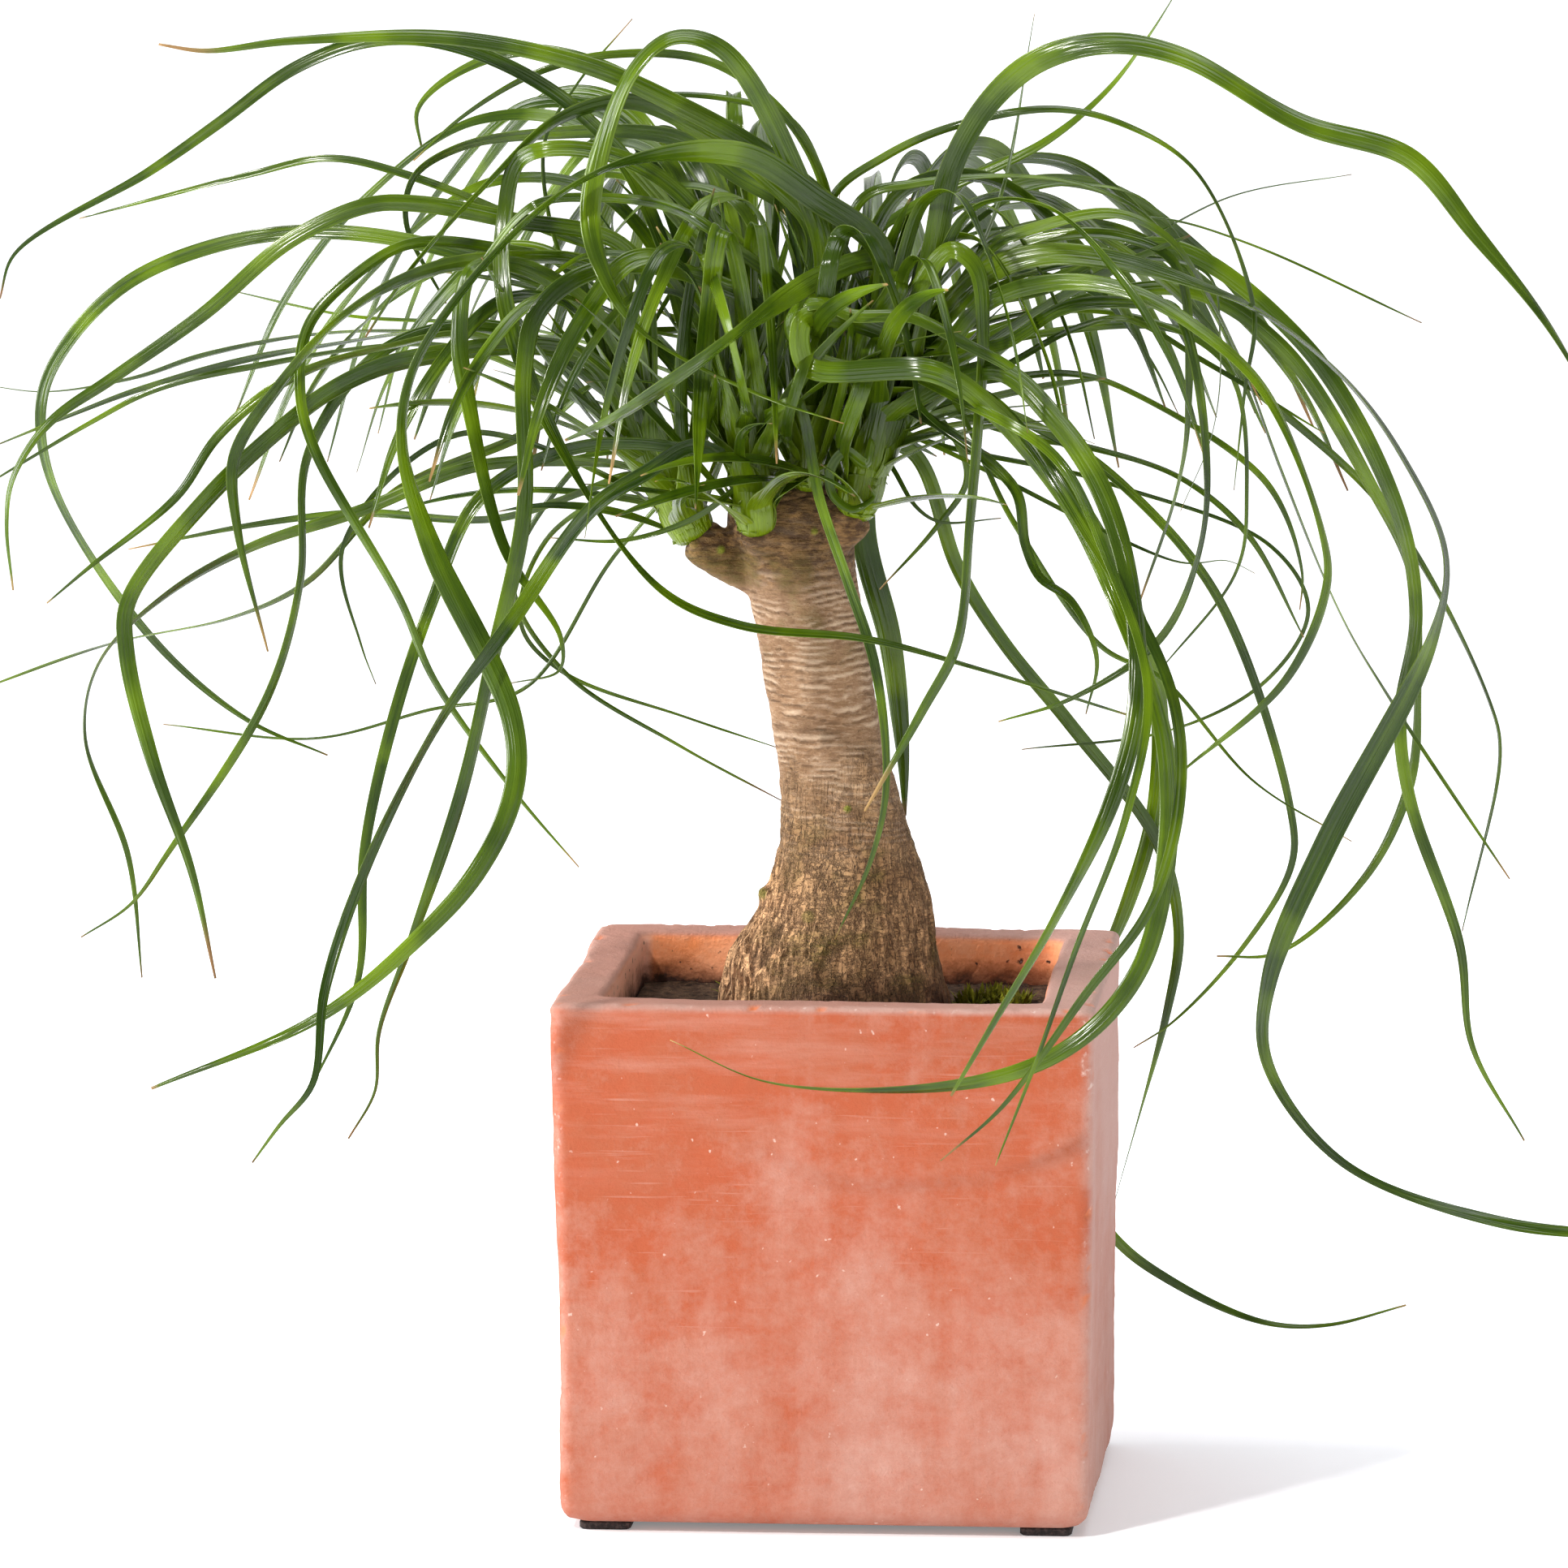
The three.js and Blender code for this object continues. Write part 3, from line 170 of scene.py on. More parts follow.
# Each leaf: its head, its width as seen, how far it comes forward (minus) or goes back (plus),
# and its line from the shoot to the tip: x and z of each of its points on the plane y = 0.
LEAVES = [
    # Long leaves that arch over to the left.
    ("right", 8, -70, [10, 530, 18, 585, -6, 608, -41, 635, -80, 656, -120, 673, -185, 686, -260, 684,
        -300, 679, -322, 682]),
    ("front", 6, -40, [-42, 515, -45, 560, -74, 598, -134, 659, -187, 683, -223, 684, -258, 671, -294,
        645, -327, 622, -391, 583, -398, 562]),
    ("back_left", 3.5, 60, [-48, 520, -60, 560, -145, 598, -204, 621, -242, 629, -280, 621, -360, 600]),
    ("left", 6.4, -60, [-84, 515, -100, 585, -159, 601, -201, 608, -224, 607, -261, 590, -301, 556,
        -345, 525, -376, 503, -393, 477, -396, 455, -393, 424]),
    ("left", 6, 40, [-92, 520, -120, 560, -150, 575, -209, 591, -258, 594, -301, 586, -337, 570, -364,
        544, -378, 516, -374, 476, -328, 403, -283, 364, -244, 347]),
    ("left", 4.5, -110, [-90, 525, -110, 570, -169, 588, -204, 589, -230, 574, -252, 550, -256, 518,
        -249, 491, -209, 420, -194, 384, -156, 331, -125, 295]),
    ("left", 8, -130, [-92, 510, -120, 535, -201, 535, -237, 522, -270, 497, -302, 466, -338, 419,
        -339, 394, -328, 346, -309, 291, -298, 240]),
    ("left", 8, -95, [-90, 530, -110, 575, -169, 581, -204, 573, -237, 553, -266, 521, -287, 488,
        -286, 455, -272, 396]),
    ("back_left", 4, 110, [-60, 515, -140, 545, -237, 547, -301, 536, -334, 525, -377, 518, -405, 521]),
    ("left", 4, 20, [-100, 520, -150, 545, -253, 540, -329, 521, -366, 507, -412, 488]),
    ("left", 3, -30, [-110, 515, -180, 540, -282, 530, -326, 519, -355, 504, -415, 468]),
    ("left", 4.5, -75, [-104, 510, -170, 545, -215, 540, -261, 525, -295, 498, -315, 469, -357, 435,
        -377, 418]),
    ("back_left", 1.8, 150, [-70, 525, -150, 550, -233, 555, -291, 567]),
    # Loops and short arches over the left half of the crown.
    ("back_left", 6.5, 90, [-44, 530, -55, 610, -90, 660, -144, 680, -180, 670, -200, 652, -198, 633]),
    ("centre", 4.5, -30, [-14, 530, -5, 590, -20, 640, -60, 674, -110, 678, -145, 669, -180, 648,
        -202, 628]),
    ("centre", 7, 45, [-16, 540, -20, 600, -50, 622, -80, 640, -145, 641, -180, 635, -202, 621, -206,
        599, -187, 561]),
    ("centre", 8.5, -60, [-12, 535, -13, 595, -35, 621, -70, 645, -102, 656, -134, 647, -166, 618,
        -204, 576, -225, 545]),
    ("right", 9.5, -215, [14, 530, 18, 585, -14, 612, -46, 631, -99, 628, -138, 608, -184, 559, -203,
        526, -207, 494, -194, 447, -157, 366, -156, 331, -173, 293, -203, 259, -249, 222, -329, 187]),
    ("left", 7, -120, [-86, 510, -120, 560, -155, 580, -175, 577, -181, 546, -176, 513, -159, 445,
        -133, 404, -134, 388, -157, 382]),
    ("front", 7, -90, [-46, 515, -60, 590, -100, 628, -150, 630, -159, 601, -159, 562, -134, 494, -87,
        427, -49, 410, 11, 404, 62, 391, 136, 369]),
    ("centre", 8.5, -130, [-13, 530, -9, 581, -21, 621, -56, 681, -80, 687, -100, 670, -119, 607,
        -112, 575, -93, 548, -38, 519, 0, 506]),
    ("back_right", 3.3, 40, [2, 540, -10, 620, -25, 648, -54, 658, -105, 658, -140, 645]),
    ("front", 5.8, -60, [-38, 515, -28, 566, -50, 587, -80, 606, -118, 611, -146, 607, -178, 570]),
    ("front", 7.5, -150, [-41, 510, -38, 558, -61, 572, -93, 580, -123, 575, -144, 557, -150, 530,
        -150, 463, -166, 390, -180, 331, -205, 257, -220, 215, -222, 187, -235, 164]),
    ("right", 9.6, -85, [4, 510, 10, 545, 25, 572, 16, 583, -9, 576, -72, 531, -109, 507, -131, 497]),
    ("front", 6.5, -285, [-47, 500, -70, 495, -93, 482, -118, 465, -159, 408, -190, 366, -226, 295,
        -246, 235, -252, 190, -268, 170, -281, 152]),
    ("front", 2.5, -35, [-30, 499, -45, 481, -70, 461, -104, 450, -138, 451]),
    ("front", 4.5, -75, [-28, 499, -11, 470, 2, 432, 15, 391, 20, 335, 13, 300, -4, 262]),
    ("back_left", 1.6, 20, [-60, 540, -120, 560, -141, 633, -126, 663, -99, 695]),
    # Leaves that arch over to the right.
    ("right", 9, -90, [20, 515, 35, 560, 43, 592, 50, 624, 67, 655, 90, 676, 122, 685, 158, 679, 214,
        648, 264, 632, 294, 598, 328, 556, 350, 518, 362, 490]),
    ("centre", 3.2, -50, [-12, 540, -6, 611, 19, 631, 50, 645, 97, 654, 131, 647, 165, 625, 192, 560,
        188, 524, 183, 476]),
    ("back_right", 4, 20, [2, 540, 10, 589, 32, 608, 93, 638, 122, 662, 142, 688, 163, 722]),
    ("right", 2, -10, [26, 520, 60, 580, 75, 618, 89, 698]),
    ("right", 5, -60, [30, 520, 68, 588, 90, 598, 126, 605, 151, 594, 169, 569, 187, 533, 204, 487,
        234, 416, 257, 377, 313, 294]),
    ("right", 10, -110, [28, 510, 65, 575, 90, 585, 125, 583, 169, 570, 198, 557, 234, 528, 260, 493,
        281, 446, 275, 407, 227, 310, 200, 245, 199, 206, 235, 158, 309, 131, 375, 126, 422, 127]),
    ("right", 7, -130, [30, 515, 64, 561, 98, 573, 135, 569, 169, 550, 198, 522, 225, 456, 227, 431,
        208, 387, 159, 343]),
    ("right", 5, -40, [24, 525, 68, 581, 98, 594, 131, 594, 155, 581, 161, 513, 156, 476, 138, 420]),
    ("right", 5, -100, [32, 510, 73, 543, 104, 561, 140, 563, 155, 560, 170, 482, 164, 438, 147, 404,
        107, 377, 73, 366]),
    ("right", 3, 30, [20, 530, 60, 575, 117, 568, 144, 536, 157, 511]),
    ("right", 3.2, 15, [30, 510, 77, 534, 108, 551, 131, 556, 169, 536, 225, 503]),
    ("back_right", 3.6, 60, [14, 520, 82, 529, 111, 530, 135, 522, 198, 480, 215, 438, 214, 420]),
    ("back_right", 4, 85, [14, 510, 90, 500, 115, 496, 158, 482, 190, 455, 216, 407]),
    ("back_right", 2, 120, [12, 530, 50, 590, 100, 600, 147, 603, 190, 591, 270, 555]),
    ("back_right", 2.5, 140, [8, 525, 60, 570, 131, 589, 183, 614, 237, 624]),
    ("centre", 4, -20, [-10, 540, 8, 611, 34, 619, 80, 623, 115, 618, 142, 604, 171, 565, 196, 516]),
    ("back_right", 2.5, 70, [10, 540, 64, 603, 93, 618, 137, 614, 158, 593, 176, 556]),
    ("right", 2, -30, [40, 520, 100, 580, 169, 578, 176, 546, 173, 504, 158, 466]),
    ("back_right", 2.2, 50, [20, 515, 110, 560, 178, 536, 189, 469, 184, 437, 148, 390]),
    ("back_right", 6, 35, [16, 510, 100, 560, 160, 570, 205, 543, 248, 476, 266, 437, 269, 380, 266,
        339, 246, 295, 205, 258, 176, 256]),
    ("back_right", 3.2, 90, [18, 515, 100, 550, 160, 550, 194, 522, 254, 467, 303, 377, 308, 353, 291,
        269]),
    ("back_right", 6.5, -20, [14, 515, 90, 570, 150, 590, 215, 545, 258, 470, 268, 418, 261, 370, 266,
        331, 290, 262, 296, 215, 321, 170]),
    ("back_right", 4, 40, [14, 500, 60, 515, 100, 500, 133, 476, 176, 425, 210, 327, 211, 300, 188,
        260, 155, 224, 137, 212]),
    # Leaves that fall in front of the pot, or behind it, on the right.
    ("right", 8.5, -175, [22, 515, 40, 550, 0, 555, -18, 555, -17, 533, 42, 531, 67, 516, 109, 465,
        137, 404, 151, 360, 153, 310, 140, 250, 108, 213, 60, 194, -34, 193, -82, 213]),
    ("right", 8, -225, [30, 505, 71, 532, 100, 508, 122, 474, 136, 425, 138, 374, 126, 327, 99, 270,
        73, 226, 51, 188]),
    ("right", 4, -262, [34, 500, 60, 515, 100, 490, 125, 440, 143, 382, 133, 322, 110, 260, 90, 202,
        72, 155]),
    ("right", 5, -195, [36, 505, 65, 520, 118, 450, 154, 380, 158, 330, 145, 280, 114, 237, 75, 183,
        46, 157]),
    ("back_right", 6, 165, [8, 505, 34, 491, 54, 438, 76, 403, 107, 365, 148, 310, 158, 268, 153, 230,
        128, 137]),
    ("back_right", 7, 200, [12, 505, 60, 515, 110, 470, 146, 390, 147, 330, 134, 280, 112, 225, 103,
        170, 128, 122, 157, 100, 199, 82, 229, 81, 266, 91]),
    ("right", 2, -40, [30, 510, 80, 460, 121, 402, 150, 387, 193, 339, 239, 311]),
    ("back_right", 2, 100, [20, 510, 120, 480, 200, 450, 218, 420, 199, 387, 155, 363, 84, 353]),
    ("right", 5, -75, [18, 500, 50, 510, 80, 476, 85, 450, 92, 434, 107, 423, 119, 396, 114, 370]),
    ("right", 4, -60, [20, 510, 60, 540, 46, 532, 34, 519, 45, 505, 69, 492]),
    ("right", 7.5, -105, [16, 510, 30, 560, 50, 588, 62, 580, 66, 548, 64, 508, 60, 460, 54, 403, 38,
        372, 10, 323]),
    ("back_right", 1.8, 30, [20, 500, 70, 470, 131, 437, 158, 442, 180, 443, 193, 437]),
    # Leaves that hang on the left, and thin ones that pass behind the trunk.
    ("left", 4, 15, [-98, 500, -150, 500, -212, 472, -254, 429, -290, 412, -348, 399, -414, 375]),
    ("left", 5, -50, [-104, 500, -170, 485, -228, 463, -280, 445, -320, 422, -352, 390, -359, 355,
        -339, 298, -333, 240]),
    ("left", 5, -85, [-100, 515, -160, 550, -215, 540, -252, 490, -256, 430, -272, 375, -320, 300,
        -338, 275, -362, 259]),
    ("left", 2.2, -20, [-100, 495, -180, 500, -236, 447, -228, 400, -221, 381]),
    ("front", 5, -120, [-50, 505, -120, 495, -170, 471, -194, 420, -214, 360, -227, 300, -230, 240,
        -253, 187]),
    ("back_left", 1.6, 70, [-64, 500, -110, 440, -150, 380, -196, 369, -250, 355, -322, 361]),
    ("left", 3, 50, [-94, 490, -164, 460, -228, 462, -279, 456, -338, 444]),
    ("back_left", 2.2, 90, [-66, 505, -130, 480, -156, 430, -132, 388, -77, 353, -28, 327]),
    ("back_left", 1.8, 110, [-70, 500, -140, 450, -152, 410, -133, 388, -75, 367, -32, 353]),
    ("back_right", 10, 70, [-2, 505, 4, 480, 10, 453, 22, 403, 28, 350, 29, 321]),
    ("back_right", 3, 50, [14, 505, 52, 500, 58, 480, 44, 458, 17, 428]),
    ("back_right", 2.5, 25, [16, 500, 25, 482, 34, 467, 45, 460, 74, 462]),
]

# Leaves that the front view hides, and the young ones at each shoot's heart: a few for each
# head, with a seeded draw. Each row is head, number, first and last azimuth in degrees, shortest
# and longest reach, and how high they rise above the shoot.
FILLERS = [
    ("left", 5, 125, 250, 90, 210, 75), ("front", 6, 165, 300, 70, 180, 80),
    ("centre", 4, 150, 400, 60, 170, 80), ("right", 6, -75, 20, 80, 190, 85),
    ("back_left", 13, 84, 176, 130, 262, 103), ("back_right", 13, 4, 96, 130, 262, 80),
]
# How far leaves turn about their own length, and how much more the narrow ones do.
TURNS = {"traced": (0.25, 0.5), "hidden": (0.2, 0.7), "narrow": 5, "more": 0.08}
# Draws for the hidden leaves: place in its share of the azimuths, rise, drop and width.
HIDDEN = {"place": (0.15, 0.85), "rise": (0.7, 1.15), "drop": (0.1, 0.35), "width": (5, 8)}
HEART = {"leaves": 3, "height": (45, 90), "width": (4, 6.5), "reach": (18, 55)}
SEED = 20261
# A rule-made leaf's stations, as shares of its reach and heights above the shoot.
ARCH = [(0.26, 0.92), (0.5, 1)]
DROOP = [(0.74, 0.28), (0.9, 0.62), (1, 1)]
SPEAR = [(0.5, 0.6), (1, 1)]
# Where leaves leave their shoot: the heights, and how they differ from neighbour to neighbour;
# how deep a root lies; which of the first drawn points are skipped as too near or too far
# aside; how far off the place is that a leaf heads for; how evenly leaves stand round the
# shoot; and the elbow of one that starts sideways.
ROOT = {
    "lowest": 0.3, "range": 0.62, "heart": 0.88, "heart_step": 0.02, "step": 0.618, "sunk": 3,
    "clear": 34, "goal": 110, "even": 0.6, "skipped": 4, "swerve": 1.5, "elbow": (15, 7),
}

# ---------------------------------------------------------------- small helpers


def dice(seed):
    """A repeatable draw between low and high."""
    state = seed

    def draw(low, high):
        nonlocal state
        state = (state * 16807) % 2147483647
        return low + (high - low) * (state - 1) / 2147483646

    return draw


def unit(vector):
    """The vector, or each row of an array of them, at length 1."""
    vector = np.asarray(vector, float)
    length = np.linalg.norm(vector, axis=-1, keepdims=True)
    return vector / np.where(length > 0, length, 1)


def angle_between(a, b):
    """The angle between two vectors, and 0 where one has no length."""
    lengths = np.linalg.norm(a) * np.linalg.norm(b)
    return math.acos(max(-1.0, min(1.0, float(np.dot(a, b)) / lengths))) if lengths > 0 else 0.0


def ease(low, high, value):
    """0 below low, 1 above high, and a smooth rise between them."""
    share = np.clip((np.asarray(value, float) - low) / (high - low), 0, 1)
    return share * share * (3 - 2 * share)


def swell(low, high, falls, ends, value):
    """A smooth rise between low and high, and a smooth fall from where it falls to where it ends."""
    return ease(low, high, value) * (1 - ease(falls, ends, value))


def between(table, along):
    """A table's value at places along it, with straight lines between its rows."""
    return np.interp(along, [row[0] for row in table], [row[1] for row in table])


def level(azimuth):
    """The level direction that is square to an azimuth."""
    return np.array([-math.sin(azimuth), math.cos(azimuth), 0])


def seen(x, z, y):
    """The points at depth y that look as if they lay at (x, z) on the plane y = 0."""
    x, z, y = np.broadcast_arrays(x, z, y)
    on_plane = np.stack([x, np.zeros(x.shape), z], -1)
    return EYE + (on_plane - EYE) * ((y - EYE[1]) / -EYE[1])[..., None]


def as_seen(point):
    """The reverse: where a point looks as if it lay on the plane y = 0."""
    t = -EYE[1] / (point[1] - EYE[1])
    return EYE[0] + (point[0] - EYE[0]) * t, EYE[2] + (point[2] - EYE[2]) * t


def scrambled(cells, seed):
    """A repeatable random number from 0 to 1 for each whole-numbered cell."""
    cells = cells.astype(np.int64)
    mixed = cells[..., 0] * 374761393 + cells[..., 1] * 668265263 + cells[..., 2] * 2147483647
    mixed = (mixed + seed * 1274126177) & 0xFFFFFFFF
    for shift in (15, 13):
        mixed = ((mixed ^ (mixed >> shift)) * 2246822519) & 0xFFFFFFFF
    return ((mixed ^ (mixed >> 16)) & 0xFFFFFF) / 0xFFFFFF


def noise(points, size, seed=0, octaves=1):
    """Smooth noise from 0 to 1, with features of the given size: one number, or one for each axis."""
    scaled = points / np.asarray(size, float)
    total = np.zeros(len(points))
    weight = 1.0
    weights = 0.0
    for octave in range(octaves):
        place = scaled * 2**octave + 17.3 * octave
        cell = np.floor(place)
        share = ease(0, 1, place - cell)
        value = np.zeros(len(points))
        for corner in np.ndindex(2, 2, 2):
            offset = np.array(corner)
            near = np.prod(np.where(offset == 1, share, 1 - share), axis=1)
            value += near * scrambled(cell + offset, seed + octave)
        total += weight * value
        weights += weight
        weight *= 0.5
    return total / weights


def waves(points, rows):
    """Noise about 0, summed: each row is size, seed, octaves and height from trough to crest."""
    return sum((noise(points, size, seed, octaves) - 0.5) * height for size, seed, octaves, height in rows)


# ---------------------------------------------------------------- leaf lines


def axis_of(head):
    """The direction that a shoot grows in."""
    return unit(HEADS[head][1])


def directions(head):
    """A shoot's axis and two directions square to it."""
    axis = axis_of(head)
    side = unit(np.array([1, 0, 0]) - axis * axis[0])
    return axis, side, np.cross(axis, side)


def in_shoot(head, along, outward=(0, 0, 0), away=0.0):
    """A place in a shoot: how far along it, and how far out from its middle line."""
    seat, _, _, length, _ = HEADS[head]
    return np.array(seat, float) + axis_of(head) * along * length + np.array(outward) * away


def drawn_line(head, reach, line):
    """The depth of each point of a drawn leaf: most of the way out is gained early."""
    start = in_shoot(head, 0.7)
    line = np.reshape(line, (-1, 2)).tolist()
    points = np.array([as_seen(start), *line])
    travelled = np.cumsum(np.hypot(*np.diff(points, axis=0).T))
    depth = start[1] + (reach - start[1]) * (1 - (1 - travelled / travelled[-1]) ** 1.6)
    return [(x, z, y) for (x, z), y in zip(line, depth)]


def ruled_line(head, azimuth, reach, stations):
    """A rule-made leaf: out along an azimuth, through stations at heights above its shoot."""
    start = in_shoot(head, 0.7)
    line = []
    for along, height in stations:
        out = np.array([math.cos(azimuth), math.sin(azimuth), 0]) * reach * along
        point = start + out + np.array([0, 0, height])
        line.append((*as_seen(point), point[1]))
    return line


def gather_leaves():
    """Every leaf that the solids have too: the drawn ones, the hidden ones and the young ones."""
    draw = dice(SEED)
    leaves = []
    for head, width, reach, line in LEAVES:
        turn = draw(*TURNS["traced"]) + max(0, TURNS["narrow"] - width) * TURNS["more"]
        line = drawn_line(head, reach, line)
        leaves.append({"head": head, "width": width, "turn": turn, "line": line})
    for head, count, first, last, shortest, longest, height in FILLERS:
        for k in range(count):
            share = (k + draw(*HIDDEN["place"])) / count
            azimuth = math.radians(first + (last - first) * share)
            reach = draw(shortest, longest)
            rise = height * draw(*HIDDEN["rise"])
            drop = rise + reach * draw(*HIDDEN["drop"])
            stations = [(along, rise * up) for along, up in ARCH]
            stations += [(along, rise - drop * down) for along, down in DROOP]
            leaves.append({
                "head": head, "width": draw(*HIDDEN["width"]), "turn": draw(*TURNS["hidden"]),
                "across": level(azimuth),
                "line": ruled_line(head, azimuth, reach, stations),
            })
    for head in HEADS:
        for _ in range(HEART["leaves"]):
            azimuth = draw(0, 2 * math.pi)
            height = draw(*HEART["height"])
            width = draw(*HEART["width"])
            turn = draw(*TURNS["hidden"])
            stations = [(along, height * up) for along, up in SPEAR]
            leaves.append({
                "head": head, "width": width, "turn": turn, "heart": True,
                "across": level(azimuth),
                "line": ruled_line(head, azimuth, draw(*HEART["reach"]), stations),
            })
    for head in HEADS:
        plant_roots([leaf for leaf in leaves if leaf["head"] == head], head)
    return leaves


def plant_roots(leaves, head):
    """Leaves stand round their shoot in the order of where they head for, at heights that differ
    from neighbour to neighbour, and start just under its skin."""
    radius = HEADS[head][2]
    axis, side, behind = directions(head)
    middle = in_shoot(head, 0.6)

    def wanted(leaf):
        places = [seen(*point) for point in leaf["line"]]
        far = [place for place in places if np.linalg.norm(place - middle) > ROOT["goal"]]
        to = (far[0] if far else places[-1]) - middle
        return math.atan2(to @ behind, to @ side)

    order = sorted(((wanted(leaf), k) for k, leaf in enumerate(leaves)), key=lambda row: row[0])
    for k, (angle, which) in enumerate(order):
        leaf = leaves[which]
        evenly = ((k + 0.5) / len(order)) * 2 * math.pi - math.pi
        turned = angle + (evenly - angle) * ROOT["even"]
        outward = side * math.cos(turned) + behind * math.sin(turned)
        along = ROOT["lowest"] + ROOT["range"] * ((k * ROOT["step"]) % 1)
        if "heart" in leaf:
            along = ROOT["heart"] + ROOT["heart_step"] * (k % 4)
        skin = between(SHOOT, along) * radius
        root = in_shoot(head, along - 0.1, outward, max(skin - ROOT["sunk"], 0.2 * skin))
        exit_place = in_shoot(head, along + 0.03, outward, skin + 1)
        rise = exit_place - root
        runs = [seen(*point) - exit_place for point in leaf["line"]]
        clear = [np.linalg.norm(run) > ROOT["clear"] for run in runs]
        straight = [
            n for n, run in enumerate(runs[: ROOT["skipped"]])
            if clear[n] and angle_between(run, rise) < ROOT["swerve"]
        ]
        stem = [root, exit_place]
        if straight:
            first = straight[0]
        else:
            first = clear.index(True) if True in clear else 0
            stem.append(exit_place + outward * ROOT["elbow"][0] + axis * ROOT["elbow"][1])
        leaf["controls"] = [(*as_seen(point), point[1]) for point in stem] + leaf["line"][first:]
        leaf["outward"] = outward
        leaf["skin"] = skin
        leaf["along"] = along


def curve_through(points, steps):
    """A centripetal Catmull-Rom curve through the points, with so many steps between each two."""
    points = np.array(points, float)
    first = 2 * points[0] - points[1]
    last = 2 * points[-1] - points[-2]
    held = np.vstack([first, points, last])
    share = (np.arange(steps) / steps)[:, None]
    pieces = []
    for k in range(len(points) - 1):
        p0, p1, p2, p3 = held[k : k + 4]
        d0, d1, d2 = (np.sum((b - a) ** 2) ** 0.25 for a, b in ((p0, p1), (p1, p2), (p2, p3)))
        d1 = d1 if d1 >= 1e-4 else 1.0
        d0 = d0 if d0 >= 1e-4 else d1
        d2 = d2 if d2 >= 1e-4 else d1
        t1 = ((p1 - p0) / d0 - (p2 - p0) / (d0 + d1) + (p2 - p1) / d1) * d1
        t2 = ((p2 - p1) / d1 - (p3 - p1) / (d1 + d2) + (p3 - p2) / d2) * d1
        cubic = -3 * p1 + 3 * p2 - 2 * t1 - t2
        quartic = 2 * p1 - 2 * p2 + t1 + t2
        pieces.append(p1 + t1 * share + cubic * share**2 + quartic * share**3)
    return np.vstack([*pieces, points[-1:]])


def place_rings(leaf):
    """Where the CAD blade has its rings: evenly along its line, closer together where it bends."""
    fine = curve_through(leaf["controls"], RINGS["fine"])
    steps = np.diff(fine, axis=0)
    bends = [angle_between(a, b) for a, b in zip(steps[:-1], steps[1:])] + [0.0]
    lengths = np.linalg.norm(steps, axis=1) + RINGS["bend"] * np.array(bends)
    effort = np.concatenate([[0], np.cumsum(lengths)])
    count = math.floor(effort[-1] / RINGS["pitch"] + 0.5)
    count = int(np.clip(count, RINGS["fewest"], RINGS["most"]))
    wanted = effort[-1] * np.arange(count + 1) / count
    leaf["effort"] = effort
    leaf["stations"] = wanted
    leaf["rings"] = np.stack([np.interp(wanted, effort, fine[:, axis]) for axis in range(3)], 1)
    leaf["drawn_depth"] = leaf["rings"][:, 2].copy()


def frames_of(leaf):
    """Half the CAD blade across each ring, as a vector, and how far along it the ring is."""
    rings = leaf["rings"]
    places = seen(rings[:, 0], rings[:, 1], rings[:, 2])
    steps = np.linalg.norm(np.diff(places, axis=0), axis=1)
    travelled = np.concatenate([[0], np.cumsum(steps)])
    true_width = leaf["width"] / math.cos(min(leaf["turn"], 1))
    before = None
    last = None
    halves = []
    for k, place in enumerate(places):
        after = places[min(k + 1, len(places) - 1)]
        prior = places[max(k - 1, 0)]
        tangent = unit(after - prior)
        across = leaf["across"].copy() if "across" in leaf else np.cross(tangent, unit(place - EYE))
        if "across" not in leaf and before is not None and np.linalg.norm(across) < 0.3:
            across = before.copy()
        across = unit(across - tangent * (across @ tangent))
        if before is not None and across @ before < 0:
            across = -across
        before = across
        width = max(true_width * between(OUTLINE, travelled[k] / travelled[-1]), BLADE["thread"])
        turned = across * math.cos(leaf["turn"]) + np.cross(across, tangent) * math.sin(leaf["turn"])
        half = tip_at_bend(turned * width / 2, place - prior, after - place)
        if last is not None:
            half = ease_twist(half, last, tangent)
        last = half
        halves.append(half)
    return np.array(halves), travelled


def tip_at_bend(half, start, end):
    """A strap can't bend far in its own plane: at a sharp corner it tips about its length."""
    angle = angle_between(start, end)
    if not start.any() or not end.any() or angle < 0.05:
        return half
    run = unit(unit(start) + unit(end))
    inward = unit(end) - unit(start)
    inward = unit(inward - run * (inward @ run))
    most = BLADE["fold"] * min(np.linalg.norm(start), np.linalg.norm(end)) / math.tan(angle / 2)
    reach = half @ inward
    if abs(reach) <= most:
        return half
    flat = np.cross(run, inward)
    side = -1 if half @ flat < 0 else 1
    rest = math.sqrt(half @ half - most * most)
    return inward * math.copysign(most, reach) + flat * side * rest


def ease_twist(half, last, tangent):
    """Between two rings a strap turns about its own length by BLADE's twist at the most."""
    kept = unit(last - tangent * (last @ tangent))
    length = np.linalg.norm(half)
    angle = angle_between(kept, half)
    if angle <= BLADE["twist"]:
        return half
    aside = unit(unit(half) - kept * math.cos(angle))
    return length * (kept * math.cos(BLADE["twist"]) + aside * math.sin(BLADE["twist"]))


# ---------------------------------------------------------------- bending leaves clear


